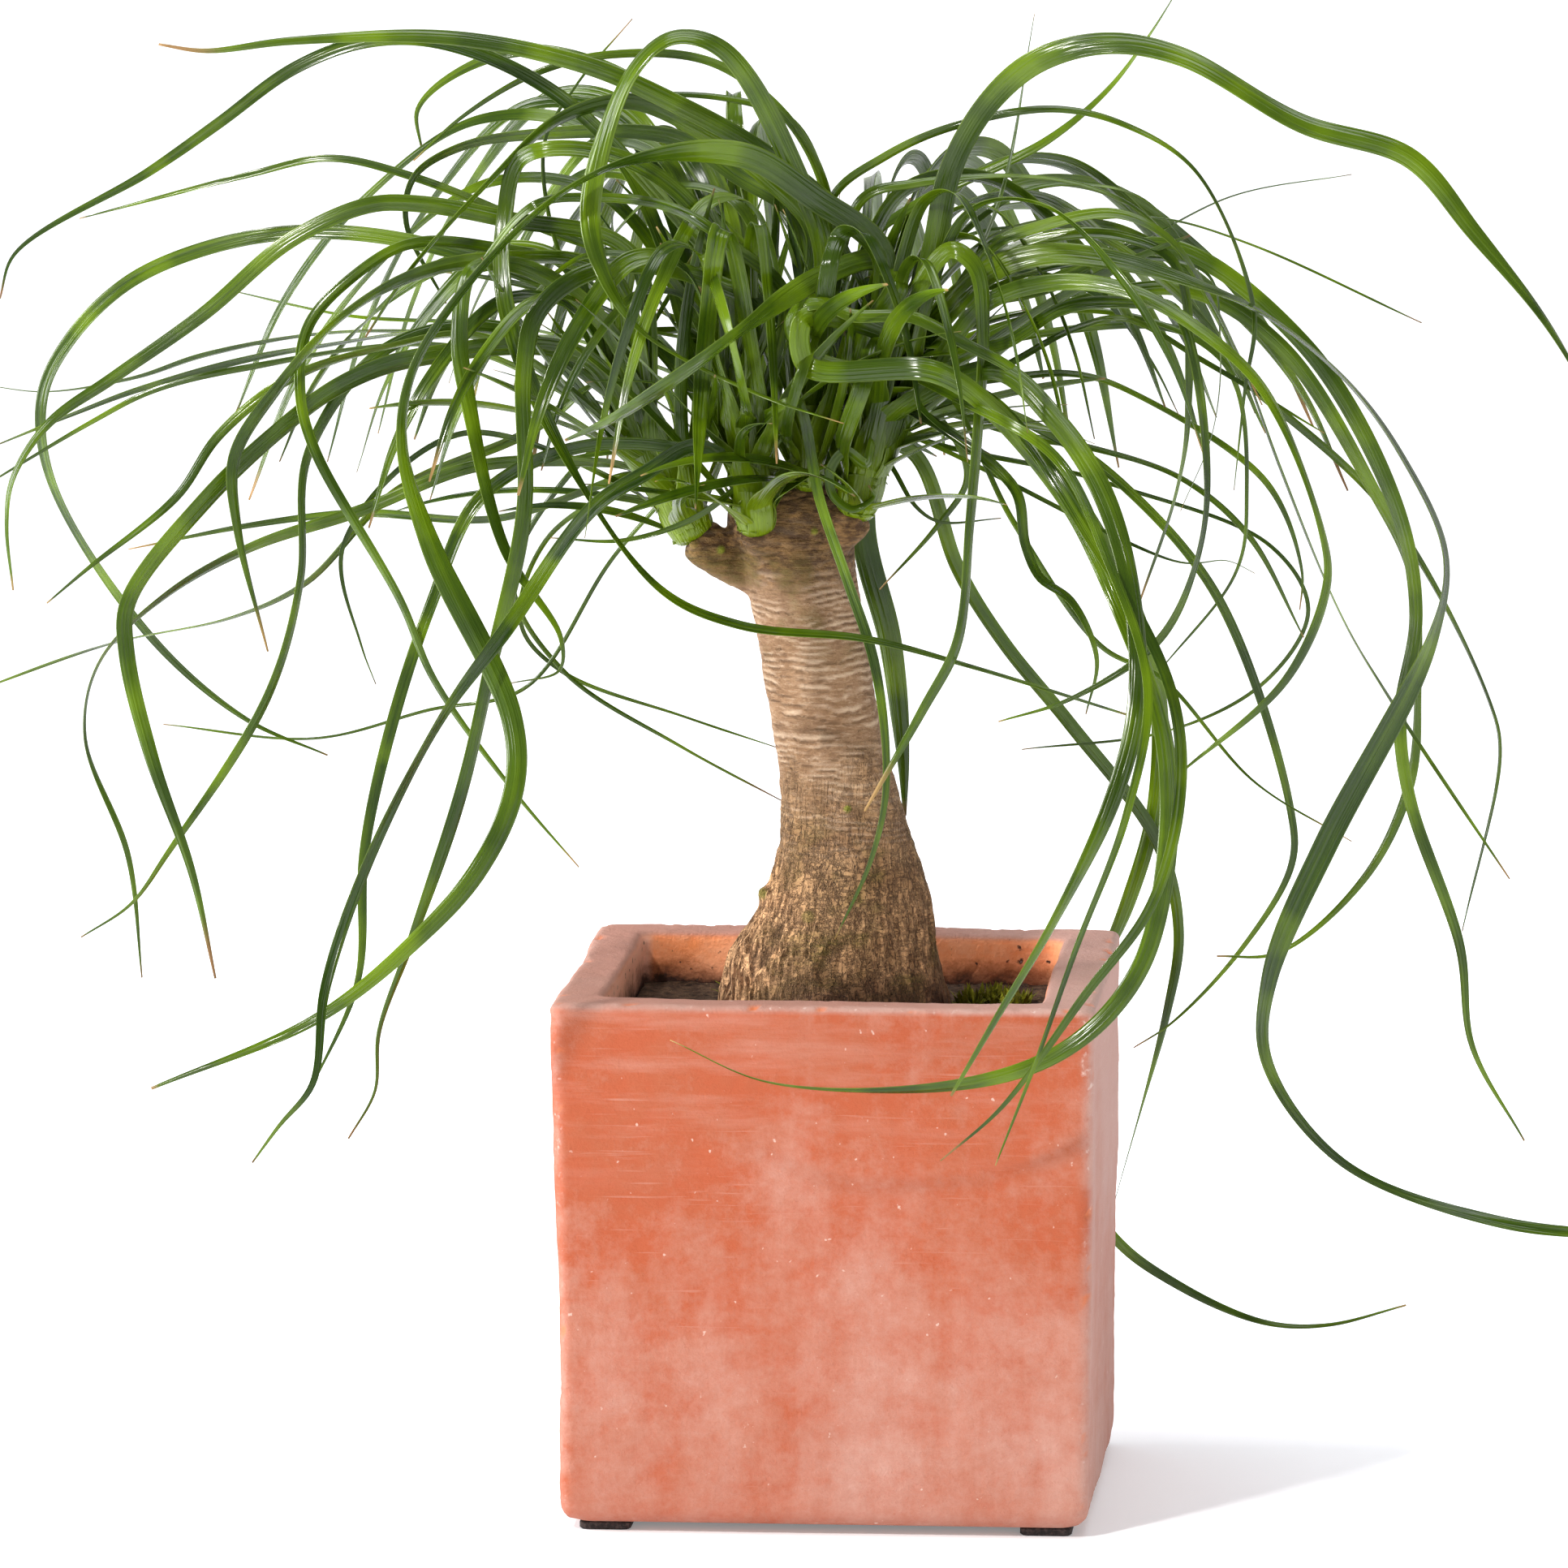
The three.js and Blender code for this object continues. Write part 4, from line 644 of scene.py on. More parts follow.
def samples_of(leaves):
    """Points along every leaf for comparing it with the others: each lies between two rings."""
    rows = []
    base = 0
    for index, leaf in enumerate(leaves):
        halves, travelled = frames_of(leaf)
        rings = leaf["rings"]
        for k in range(len(rings) - 1):
            length = math.hypot(*(rings[k + 1, :2] - rings[k, :2]))
            steps = max(2, math.ceil(length / SPREAD["step"]))
            for n in range(steps):
                share = n / steps
                x, z = rings[k, :2] + (rings[k + 1, :2] - rings[k, :2]) * share
                half = halves[k] + (halves[k + 1] - halves[k]) * share
                low = 0 if k == 0 else 1 - share
                lever = max((1 - share) * low + share * share, 0.4)
                rows.append((
                    index, base + k, share, x, z, travelled[k], math.hypot(half[0], half[2]),
                    abs(half[1]), low / lever, share / lever, list(HEADS).index(leaf["head"]),
                ))
        base += len(rings)
    return rows


def obstacles():
    """The shoots and the trunk as discs that only push: x, z, y, radius, depth and head."""
    discs = []
    for which, head in enumerate(HEADS):
        for k in range(11):
            place = in_shoot(head, k * 0.1)
            radius = HEADS[head][2] * between(SHOOT, k * 0.1)
            discs.append((*as_seen(place), place[1], radius, radius, which))
    for k in range(FIRST_BARE_ROW, len(TRUNK)):
        for part in (0, 0.33, 0.67):
            row = np.array(TRUNK[k - 1]) * (1 - part) + np.array(TRUNK[k]) * part
            z, left, right, depth = row
            discs.append(((left + right) / 2, z, 0, (right - left) / 2, depth, len(HEADS)))
    return discs


def spread(leaves):
    """Leaves that cross as seen from the front are moved apart in depth, along the line of sight,
    until there is air between them. Each keeps its side of the other wherever they meet."""
    rows = samples_of(leaves)
    table = np.array(rows, float)
    index, ring, share, xs, zs, travelled, radii, depths, lows, highs, heads = table.T
    ring = ring.astype(int)
    depth = [float(y) for leaf in leaves for y in leaf["rings"][:, 2]]
    start = np.array(depth)
    at = start[ring] + (start[ring + 1] - start[ring]) * share
    discs = obstacles()
    behind = {}
    meetings = []
    for i in range(len(rows)):
        near = np.abs(xs[i + 1 :] - xs[i]) < SPREAD["reach"]
        near &= index[i + 1 :] != index[i]
        rooted = (travelled[i + 1 :] < SPREAD["rooted"]) | (travelled[i] < SPREAD["rooted"])
        near &= ~((heads[i + 1 :] == heads[i]) & rooted)
        gap = np.hypot(xs[i + 1 :] - xs[i], zs[i + 1 :] - zs[i])
        near &= gap <= radii[i] + radii[i + 1 :] + SPREAD["margin"]
        for j in np.flatnonzero(near) + i + 1:
            pair = (index[i], index[j])
            behind[pair] = behind.get(pair, 0) + np.sign(at[i] - at[j])
            meetings.append((i, int(j), pair, SPREAD["air"] + depths[i] + depths[j], 0.0))
        for x, z, y, radius, reach, head in discs:
            if head == heads[i] or math.hypot(xs[i] - x, zs[i] - z) > radii[i] + radius + SPREAD["margin"]:
                continue
            pair = (index[i], -1 - head)
            behind[pair] = behind.get(pair, 0) + np.sign(at[i] - y)
            meetings.append((i, -1, pair, SPREAD["air"] + depths[i] + reach, float(y)))
    wall = POT["top_width"] / 2 + SPREAD["wall"]
    over_pot = np.flatnonzero((np.abs(xs) < SPREAD["near_pot"]) & (zs < SPREAD["low"])).tolist()
    ring, share, lows, highs = ring.tolist(), share.tolist(), lows.tolist(), highs.tolist()
    meetings = [(i, j, 1 if behind[pair] > 0 else -1, gap, y) for i, j, pair, gap, y in meetings]

    def depth_of(i):
        low = depth[ring[i]]
        return low + (depth[ring[i] + 1] - low) * share[i]

    def push(i, by):
        depth[ring[i]] += by * lows[i]
        depth[ring[i] + 1] += by * highs[i]

    for _ in range(SPREAD["rounds"]):
        for i, j, side, gap, y in meetings:
            short = gap - side * (depth_of(i) - (depth_of(j) if j >= 0 else y))
            if short <= 0:
                continue
            if j < 0:
                push(i, side * short)
                continue
            push(i, side * short * 0.5)
            push(j, -side * short * 0.5)
        for i in over_pot:
            y = depth_of(i)
            x, _, z = seen(xs[i], zs[i], y)
            if abs(y) < wall and abs(x) < wall and z < RIM_Z + SPREAD["wall"]:
                push(i, (-wall if y < 0 else wall) - y)
    base = 0
    for leaf in leaves:
        count = len(leaf["rings"])
        leaf["rings"][:, 2] = depth[base : base + count]
        base += count


# ---------------------------------------------------------------- meshes


def mesh_object(name, points, faces, layers=None):
    """A smooth-shaded mesh from points in millimetres, with numbers kept at each point."""
    mesh = bpy.data.meshes.new(name)
    mesh.from_pydata((np.asarray(points) * MM).tolist(), [], [list(face) for face in faces])
    mesh.polygons.foreach_set("use_smooth", [True] * len(mesh.polygons))
    for key, values in (layers or {}).items():
        values = np.asarray(values, np.float32)
        kind = "FLOAT" if values.ndim == 1 else "FLOAT_VECTOR"
        layer = mesh.attributes.new(key, kind, "POINT")
        layer.data.foreach_set("value" if kind == "FLOAT" else "vector", values.ravel())
    mesh.update()
    made = bpy.data.objects.new(name, mesh)
    bpy.context.scene.collection.objects.link(made)
    return made


def sheet_faces(rows, columns, around=True):
    """The quads of a grid of points, row after row, closed round its columns or left open."""
    grid = np.arange(rows * columns).reshape(rows, columns)
    after = np.roll(grid, -1, 1) if around else grid[:, 1:]
    here = grid if around else grid[:, :-1]
    return np.stack([here[:-1], after[:-1], after[1:], here[1:]], -1).reshape(-1, 4).tolist()


def band_faces(first, second):
    """The quads between two closed rings of point numbers."""
    return np.stack([first, np.roll(first, -1), np.roll(second, -1), second], 1).tolist()


def grid_normals(points):
    """The normal at each point of a grid (rows, columns, 3) that is closed round its columns."""
    across = np.roll(points, -1, 1) - np.roll(points, 1, 1)
    return unit(np.cross(across, np.gradient(points, axis=0)))


class Pile:
    """Meshes gathered into one: points, faces and numbers at the points."""

    def __init__(self):
        self.points = []
        self.faces = []
        self.layers = {}
        self.count = 0

    def add(self, points, faces, **layers):
        for key, values in layers.items():
            values = np.broadcast_to(values, (len(points), *np.shape(values)[1:]))
            self.layers.setdefault(key, []).append(values)
        self.points.append(np.asarray(points, float))
        self.faces += [[corner + self.count for corner in face] for face in faces]
        self.count += len(points)

    def add_tube(self, points, **layers):
        """A closed tube through a grid of points (rows, columns, 3), with flat ends."""
        rows, columns = points.shape[:2]
        first = list(range(columns))
        last = [(rows - 1) * columns + k for k in first]
        self.add(points.reshape(-1, 3), sheet_faces(rows, columns) + [first[::-1], last], **layers)

    def make(self, name):
        layers = {key: np.concatenate(values) for key, values in self.layers.items()}
        return mesh_object(name, np.concatenate(self.points), self.faces, layers)


# ---------------------------------------------------------------- fine leaves

# A strap: mesh pitch, what a bend adds to it, points across, depth of its gutter, thickness in
# the middle and at its edges, width at the tip, how much wider than its solid and how uneven
# it is, its least width before the tip, the length of its point, and how wide its base gets:
# against its shoot's radius and against its own width.
STRAP = {
    "pitch": 4.5, "bend": 16, "across": 7, "gutter": 0.1, "thick": 0.8, "edge": 0.25, "tip": 0.55,
    "fuller": 1.13, "uneven": 0.1, "thread": 1.3, "point": 30, "base": (1.15, 2.1),
}
# How far along a leaf its pale base fades, and how far past the shoot it stops wrapping it.
YOUNG = (4, 62)
WRAP = (4, 42)
# How a leaf turns about its own length: most in radians, over how long a stretch, and between
# which places along it that sets in.
WAVE = {"most": 1.8, "stretch": 150, "starts": (50, 240)}
# A leaf's dry tip: shortest, how much longer it can be, and the largest share of the leaf.
DRY = {"least": 3, "more": 34, "share": 0.07, "short": 2.5}
# Curled leaves in front of the crown: head, width, how far to the front, and the line as seen.
CURLS = [
    ("right", 4.2, -44, [(14, 500), (10.5, 487), (1, 492.5), (-5.9, 484), (-4.8, 472.3), (4.4, 465.8),
        (13.9, 471.2), (11.6, 477)]),
    ("right", 5.2, -78, [(6, 532), (-10, 535.5), (-21, 542), (-25.5, 552), (-20, 561), (-8, 562.5),
        (4, 557), (18, 557), (34, 556), (57, 544), (82, 530), (108, 502)]),
]
CURL = {"turn": 0.6, "outward": np.array([0.2, -0.98, 0]), "skin": 9.0, "along": -0.6}
# Short leaves that fan out of each shoot's foot, more than the solids have.
FAN = {
    "leaves": 15, "width": (3.5, 7.5), "length": (75, 185), "lean": (0.35, 1.2), "sag": (0.05, 0.5),
    "along": (0.0, 0.55), "swerve": 0.35, "turn": (0.1, 0.6), "seed": 977,
}


def smooth_between(step, values, along):
    """A smooth line through evenly spaced values."""
    place = np.clip(np.asarray(along) / step, 0, len(values) - 1 - 1e-9)
    k = place.astype(int)
    share = place - k
    held = np.concatenate([[2 * values[0] - values[1]], values, [2 * values[-1] - values[-2]]])
    a, b, c, d = held[k], held[k + 1], held[k + 2], held[k + 3]
    slope = (c - a) * share + (2 * a - 5 * b + 4 * c - d) * share**2
    return b + 0.5 * (slope + (3 * (b - c) + d - a) * share**3)


def smoothed(values, rounds):
    """Rows of a line averaged with their neighbours; the ends stay."""
    for _ in range(rounds):
        inner = 0.25 * values[:-2] + 0.5 * values[1:-1] + 0.25 * values[2:]
        values = np.vstack([values[:1], inner, values[-1:]])
    return values


def base_line(leaf):
    """The stretch of a leaf that hugs its shoot, from the seat up to where the leaf starts."""
    head = leaf["head"]
    stations = np.linspace(0.02, max(leaf["along"] - 0.1, 0.06), 6)
    depth = 0.93 - 0.25 * leaf["along"]
    skins = [between(SHOOT, station) * HEADS[head][2] * depth for station in stations]
    return np.array([in_shoot(head, *row) for row in zip(stations, [leaf["outward"]] * 6, skins)])


def fan_leaves():
    """Short leaves that fan out of each shoot, with a seeded draw."""
    draw = dice(FAN["seed"])
    leaves = []
    for head in HEADS:
        axis, side, behind = directions(head)
        for k in range(FAN["leaves"]):
            azimuth = 2 * math.pi * (k + draw(0, 0.9)) / FAN["leaves"]
            outward = side * math.cos(azimuth) + behind * math.sin(azimuth)
            along = draw(*FAN["along"])
            lean = draw(*FAN["lean"]) * (1.1 - 0.7 * along)
            length = draw(*FAN["length"])
            heading = axis * math.cos(lean) + outward * math.sin(lean)
            aside = np.cross(axis, outward) * draw(-FAN["swerve"], FAN["swerve"])
            skin = between(SHOOT, along) * HEADS[head][2]
            reach = np.linspace(0, 1, 24)[:, None]
            sag = draw(*FAN["sag"]) * math.sin(lean) * np.array([0, 0, -1])
            start = in_shoot(head, along + 0.04, outward, 0.8 * skin)
            leaves.append({
                "head": head, "width": draw(*FAN["width"]), "turn": draw(*FAN["turn"]),
                "across": np.cross(axis, outward), "outward": outward, "skin": skin, "along": along + 0.1,
                "places": start + length * (heading * reach + (sag + aside) * reach**2),
            })
    return leaves


def curled_leaves():
    """The curled leaves in front of the crown."""
    leaves = []
    for head, width, depth, line in CURLS:
        line = np.array(line, float)
        steps = np.linspace(0, len(line) - 1, 12 * len(line))
        x, z = (smooth_between(1, line[:, k], steps) for k in range(2))
        places = seen(x, z, np.interp(steps, [0, 2, 20], [depth + 10, depth, depth]))
        leaves.append({"head": head, "width": width, "places": places, **CURL})
    return leaves


def fine_line(leaf):
    """The leaf's middle line in fine steps, moved in depth as its rings were."""
    if "places" in leaf:
        places = leaf["places"]
    else:
        steps = 4 * RINGS["fine"]
        fine = curve_through(leaf["controls"], steps)
        effort = np.interp(np.arange(len(fine)) / 4, np.arange(len(leaf["effort"])), leaf["effort"])
        moved = leaf["rings"][:, 2] - leaf["drawn_depth"]
        depth = fine[:, 2] + smooth_between(leaf["stations"][1], moved, effort)
        places = seen(fine[:, 0], fine[:, 1], depth)
    if "across" in leaf or "places" not in leaf:
        places = np.vstack([base_line(leaf), places])
    runs = np.diff(places, axis=0)
    lengths = np.linalg.norm(runs, axis=1)
    bends = np.linalg.norm(np.diff(unit(runs), axis=0), axis=1)
    travelled = np.concatenate([[0], np.cumsum(lengths)])
    weighted = np.concatenate([[0], np.cumsum(lengths + STRAP["bend"] * np.append(bends, 0))])
    count = max(int(weighted[-1] / STRAP["pitch"]), 12)
    wanted = np.linspace(0, weighted[-1], count)
    line = np.stack([np.interp(wanted, weighted, places[:, axis]) for axis in range(3)], 1)
    return smoothed(line, 1), np.interp(wanted, weighted, travelled)


def wrapping(leaf):
    """Where along a leaf it starts to leave its shoot, and where it has left it."""
    return leaf["along"] * HEADS[leaf["head"]][3] + np.array(WRAP)


def strap_map(across, along, apart):
    """Where each point lies on its strap: across it, along it, and which strap it is."""
    places = np.broadcast_arrays(across, along[:, None], np.full((1, 1), float(apart)))
    return np.stack(places, -1).reshape(-1, 3) * MM


def strap_frames(leaf, line, travelled, wave):
    """Across and upper-face directions along a leaf. At its root it wraps the shoot."""
    tangents = unit(np.gradient(line, axis=0))
    across = np.broadcast_to(leaf.get("across", np.cross(tangents, unit(line - EYE))), line.shape)
    across = across - tangents * np.sum(across * tangents, 1)[:, None]
    for k in range(1, len(across)):
        if across[k] @ across[k - 1] < 0:
            across[k] = -across[k]
    across = smoothed(across, 6)
    root = np.cross(tangents, leaf["outward"])
    settled = min(int(np.searchsorted(travelled, wrapping(leaf)[1])), len(line) - 1)
    if across[settled] @ root[0] < 0:
        across = -across
    across = unit(across)
    turn = leaf["turn"] + wave
    normal = np.cross(across, tangents)
    turned = across * np.cos(turn)[:, None] + normal * np.sin(turn)[:, None]
    share = ease(*wrapping(leaf), travelled)[:, None]
    mixed = unit(root[:1] * (1 - share) + turned * share)
    mixed = smoothed(mixed, 4)
    mixed = unit(mixed - tangents * np.sum(mixed * tangents, 1)[:, None])
    upper = np.cross(tangents, mixed)
    if upper[0] @ leaf["outward"] > 0:
        upper = -upper
    return mixed, upper


def add_strap(pile, leaf, number):
    """One strap leaf as a closed, gently guttered blade with a fine dry tip."""
    line, travelled = fine_line(leaf)
    total = travelled[-1]
    seeds = np.stack([travelled, np.full(len(line), 37.0 * number), np.zeros(len(line))], 1)
    wave = waves(seeds, [(WAVE["stretch"], 5, 2, 2)]) * WAVE["most"] * ease(*WAVE["starts"], travelled)
    across, upper = strap_frames(leaf, line, travelled, wave)
    true_width = STRAP["fuller"] * leaf["width"] / math.cos(min(leaf["turn"], 1))
    width = smoothed((true_width * between(OUTLINE, travelled / total))[:, None], 3)[:, 0]
    width = width * (1 + waves(seeds, [(60, 9, 1, STRAP["uneven"])]))
    narrowing = (STRAP["thread"] - STRAP["tip"]) * ease(total - STRAP["point"], total, travelled)
    width = np.maximum(width, STRAP["thread"] - narrowing)
    wrapped = 1 - ease(*wrapping(leaf), travelled)
    width = np.maximum(width, wrapped * np.min(STRAP["base"] * np.array([leaf["skin"], true_width])))
    u = np.sin(np.linspace(-1, 1, STRAP["across"]) * math.pi / 2)
    loop = np.concatenate([u, u[::-1]])
    face = np.concatenate([np.ones(len(u)), -np.ones(len(u))])
    half = width / 2
    curl = np.clip(half**2 / (2 * leaf["skin"]), 0, half * 0.7)
    raised = STRAP["gutter"] * width * (1 - wrapped) + curl * wrapped
    fold = np.where(wrapped[:, None] > 0.5, loop[None] ** 2, np.abs(loop)[None] ** 1.25)
    thin = np.clip(width / 4, 0.35, 1)
    thickness = (STRAP["edge"] + (STRAP["thick"] - STRAP["edge"]) * (1 - loop**2)) / 2
    lift = raised[:, None] * fold + (face * thickness)[None] * thin[:, None]
    aside = half[:, None] * loop
    points = line[:, None] + across[:, None] * aside[..., None] + upper[:, None] * lift[..., None]
    rows, columns = points.shape[:2]
    dry_length = DRY["least"] + DRY["more"] * float(scrambled(np.array([[number, 3, 1]]), 4)[0]) ** 4
    dry_length = min(DRY["short"] if "places" in leaf else dry_length, DRY["share"] * total)
    young = (1 - ease(*YOUNG, travelled)) * ease(-0.5, 0, leaf["along"])
    pile.add_tube(
        points, strap=strap_map(aside, travelled, 61 * number),
        dry=np.repeat(ease(total - dry_length, total - 0.3 * dry_length, travelled), columns),
        young=np.repeat(young, columns), tint=float(scrambled(np.array([[number, 7, 2]]), 8)[0]),
        edge=np.tile(np.abs(loop), rows), under=np.tile((1 - face) / 2, rows),
    )


def add_shoot(pile, head):
    """The bulb of leaf bases that a head grows from."""
    _, _, radius, length, _ = HEADS[head]
    axis, side, behind = directions(head)
    rows, columns = 60, 48
    along = np.linspace(0, 1, rows)
    angle = np.linspace(0, 2 * math.pi, columns, endpoint=False)
    out = 0.72 * radius * between(SHOOT, along)
    sheaths = 1 + 0.07 * np.sin(5 * angle[None] + 9 * along[:, None])
    sheaths = sheaths + 0.04 * np.sin(11 * angle[None] - 14 * along[:, None])
    around = side * np.cos(angle)[:, None] + behind * np.sin(angle)[:, None]
    middle = in_shoot(head, 0) + axis * length * along[:, None]
    points = middle[:, None] + around[None] * (out[:, None] * sheaths)[..., None]
    pile.add_tube(
        points, strap=strap_map(angle[None] * radius, length * along, 9),
        young=np.repeat(1 - 0.8 * along, columns), dry=0.0, tint=0.5, edge=0.0, under=0.0,
    )


# ---------------------------------------------------------------- pot

SIDE_STEPS = 112
ARC_STEPS = 5


def square_ring(left, right, front, back, radius, z):
    """A rounded square at one height; every ring has its points at the same places round it."""
    corners = [(right, back, 0), (left, back, 1), (left, front, 2), (right, front, 3)]
    arcs = []
    for x, y, quarter in corners:
        centre = np.array([x - math.copysign(radius, x), y - math.copysign(radius, y)])
        angle = (quarter + np.arange(ARC_STEPS + 1) / ARC_STEPS) * math.pi / 2
        arcs.append(centre + radius * np.stack([np.cos(angle), np.sin(angle)], 1))
    ring = []
    for k, arc in enumerate(arcs):
        follow = arcs[(k + 1) % 4][0]
        share = (np.arange(1, SIDE_STEPS) / SIDE_STEPS)[:, None]
        ring += [arc, arc[-1] + (follow - arc[-1]) * share]
    ring = np.vstack(ring)
    return np.column_stack([ring, np.full(len(ring), float(z))])


def outer_ring(z, inset, radius):
    """A ring on the pot's outside, which widens towards the rim."""
    along = (z - POT_FOOT_Z) / POT["height"]
    half = (POT["bottom_width"] + (POT["top_width"] - POT["bottom_width"]) * along) / 2 - inset
    return square_ring(-half, half, -half, half, radius, z)


def cavity_ring(z, inset):
    """A ring on the inside of the pot's walls."""
    half = POT["top_width"] / 2
    side = half - POT["wall_front"] - inset
    left = -half + POT["wall_left"] + inset
    right = half - POT["wall_right"] - inset
    return square_ring(left, right, -side, side, POT["inner_corner"], z)


def drain_ring(z, radius):
    """A round ring whose points face the same way as the square rings' points."""
    square = cavity_ring(z, 0)
    return np.column_stack([unit(square[:, :2]) * radius, square[:, 2]])


def pot_rings():
    """The pot's section as rings: under its foot, up its outside, over the rim and down inside."""
    foot, rim = POT["foot_radius"], POT["rim_radius"]
    floor = POT_FOOT_Z + POT["floor"]
    rings = []
    for share in (0, 0.3, 0.6, 0.85):
        start = drain_ring(POT_FOOT_Z, POT["drain_radius"])
        rings.append(start + (outer_ring(POT_FOOT_Z, foot, POT["foot_corner"]) - start) * share)
    for angle in np.linspace(0, math.pi / 2, 7):
        z = POT_FOOT_Z + foot * (1 - math.cos(angle))
        rings.append(outer_ring(z, foot * (1 - math.sin(angle)), POT["foot_corner"]))
    low, high = POT_FOOT_Z + foot, RIM_Z - rim
    for z in np.linspace(low, high, int((high - low) / POT_GRID))[1:-1]:
        rings.append(outer_ring(z, 0, POT["edge_radius"]))
    for angle in np.linspace(0, math.pi / 2, 6):
        z = RIM_Z - rim * (1 - math.sin(angle))
        rings.append(outer_ring(z, rim * (1 - math.cos(angle)), POT["edge_radius"]))
    brink = outer_ring(RIM_Z, rim, POT["edge_radius"])
    lip = cavity_ring(RIM_Z, -rim)
    for share in np.linspace(0, 1, 9)[1:-1]:
        rings.append(brink + (lip - brink) * share)
    for angle in np.linspace(0, math.pi / 2, 6):
        rings.append(cavity_ring(RIM_Z - rim * (1 - math.cos(angle)), -rim * (1 - math.sin(angle))))
    for z in np.concatenate([np.arange(RIM_Z - rim - 2, 214, -2.0), np.linspace(205, floor + 6, 8)]):
        rings.append(cavity_ring(z, 0))
    end = cavity_ring(floor, POT["floor_bevel"])
    hole = drain_ring(floor, POT["drain_radius"])
    for share in (0, 0.4, 0.8, 1):
        rings.append(end + (hole - end) * share)
    for z in (floor - 2, POT_FOOT_Z + 8, POT_FOOT_Z + 2):
        rings.append(drain_ring(z, POT["drain_radius"]))
    return np.array(rings)


def make_pot():
    """The pot's wall as one closed sheet, hand-worked: wavy, grained, and chipped at its edges."""
    rings = pot_rings()
    rows, columns = rings.shape[:2]
    padded = np.concatenate([rings[-1:], rings, rings[:1]])
    normals = grid_normals(padded)[1:-1].reshape(-1, 3)
    points = rings.reshape(-1, 3)
    shell = points[:, 2] > POT_FOOT_Z + 2
    x, y, z = points.T
    half = POT["top_width"] / 2
    furthest = np.maximum(np.abs(x), np.abs(y))
    corner = ease(half - 8, half - 2, np.minimum(np.abs(x), np.abs(y)))
    rim = ease(RIM_Z - 4, RIM_Z - 0.8, z)
    edge = np.maximum(corner, rim * ease(half - 7, half - 2, furthest))
    chips = ease(0.68, 0.76, noise(points, 8, 6, 2)) * edge
    pits = ease(0.72, 0.8, noise(points, 3.4, 7, 1)) * (0.3 + 0.7 * edge)
    move = waves(points, WEAR["waves"]) + waves(points, WEAR["grain"]) * (1 - 0.4 * edge)
    move = move - WEAR["chips"] * chips - WEAR["pits"] * pits
    lift = WEAR["lift"] * ease(30, half, y) * ease(RIM_Z - 70, RIM_Z, z)
    lean = WEAR["lean"] * ease(90, RIM_Z, z) * ease(-90, -half, x)
    moved = points + normals * (move * shell)[:, None] + np.stack([lean, 0 * lean, lift], 1)
    worn = edge * (0.35 + 0.65 * ease(0.35, 0.6, noise(points, 14, 8, 3)))
    first = np.arange(columns)
    last = first + (rows - 1) * columns
    faces = sheet_faces(rows, columns) + band_faces(last, first)
    inner = ease(half - 9, half - 15, furthest) * (1 - rim)
    return mesh_object("Pot_wall", moved, faces, {"inner": inner, "worn": worn, "rim": rim, "chips": chips})


# ---------------------------------------------------------------- trunk


def trunk_shell():
    """A smooth shell through the trunk's rows, with a stub under each shoot."""
    table = np.array(TRUNK, float)
    heights = np.concatenate([np.arange(table[0, 0], table[-1, 0], 3.0), table[-1:, 0]])
    rows = np.stack([np.interp(heights, table[:, 0], table[:, k]) for k in range(4)], 1)
    rows[:, 1:] = smoothed(rows[:, 1:], 4)
    angle = np.linspace(0, 2 * math.pi, 72, endpoint=False)
    z, left, right, depth = (rows[:, k][:, None] for k in range(4))
    flute = 1 + sum(deep * np.cos(n * angle[None] + z * twist) for n, deep, twist in FLUTES)
    x = (left + right) / 2 + (right - left) / 2 * np.cos(angle)[None] * flute
    points = np.stack(np.broadcast_arrays(x, depth * np.sin(angle)[None] * flute, z), -1)
    pile = Pile()
    pile.add_tube(points)
    for head in HEADS:
        seat, grows, radius, _, stem = HEADS[head]
        end = np.array(seat, float) + np.array(grows) * STUB["above"]
        start = np.array(stem, float)
        axis = unit(end - start)
        side = unit(np.cross(axis, [0, 1, 0]))
        behind = np.cross(axis, side)
        around = side * np.cos(angle)[:, None] + behind * np.sin(angle)[:, None]
        share = np.linspace(0, 1, 15)
        out = radius * np.interp(share, STUB["along"], STUB["outline"])
        line = start + (end - start) * share[:, None]
        pile.add_tube(line[:, None] - around[None] * out[:, None, None])
    return pile.make("Trunk_shell")


def remeshed(source, grid):
    """The object's skin as an even grid of quads: points in millimetres, normals and faces."""
    modifier = source.modifiers.new("Even", "REMESH")
    modifier.mode = "VOXEL"
    modifier.voxel_size = grid * MM
    soft = source.modifiers.new("Soft", "SMOOTH")
    soft.factor = 0.5
    soft.iterations = BARK["smoothing"]
    shown = source.evaluated_get(bpy.context.evaluated_depsgraph_get())
    mesh = bpy.data.meshes.new_from_object(shown)
    points, normals = np.zeros((2, len(mesh.vertices) * 3))
    mesh.vertices.foreach_get("co", points)
    mesh.vertices.foreach_get("normal", normals)
    faces = [list(face.vertices) for face in mesh.polygons]
    bpy.data.objects.remove(source)
    return points.reshape(-1, 3) / MM, normals.reshape(-1, 3), faces


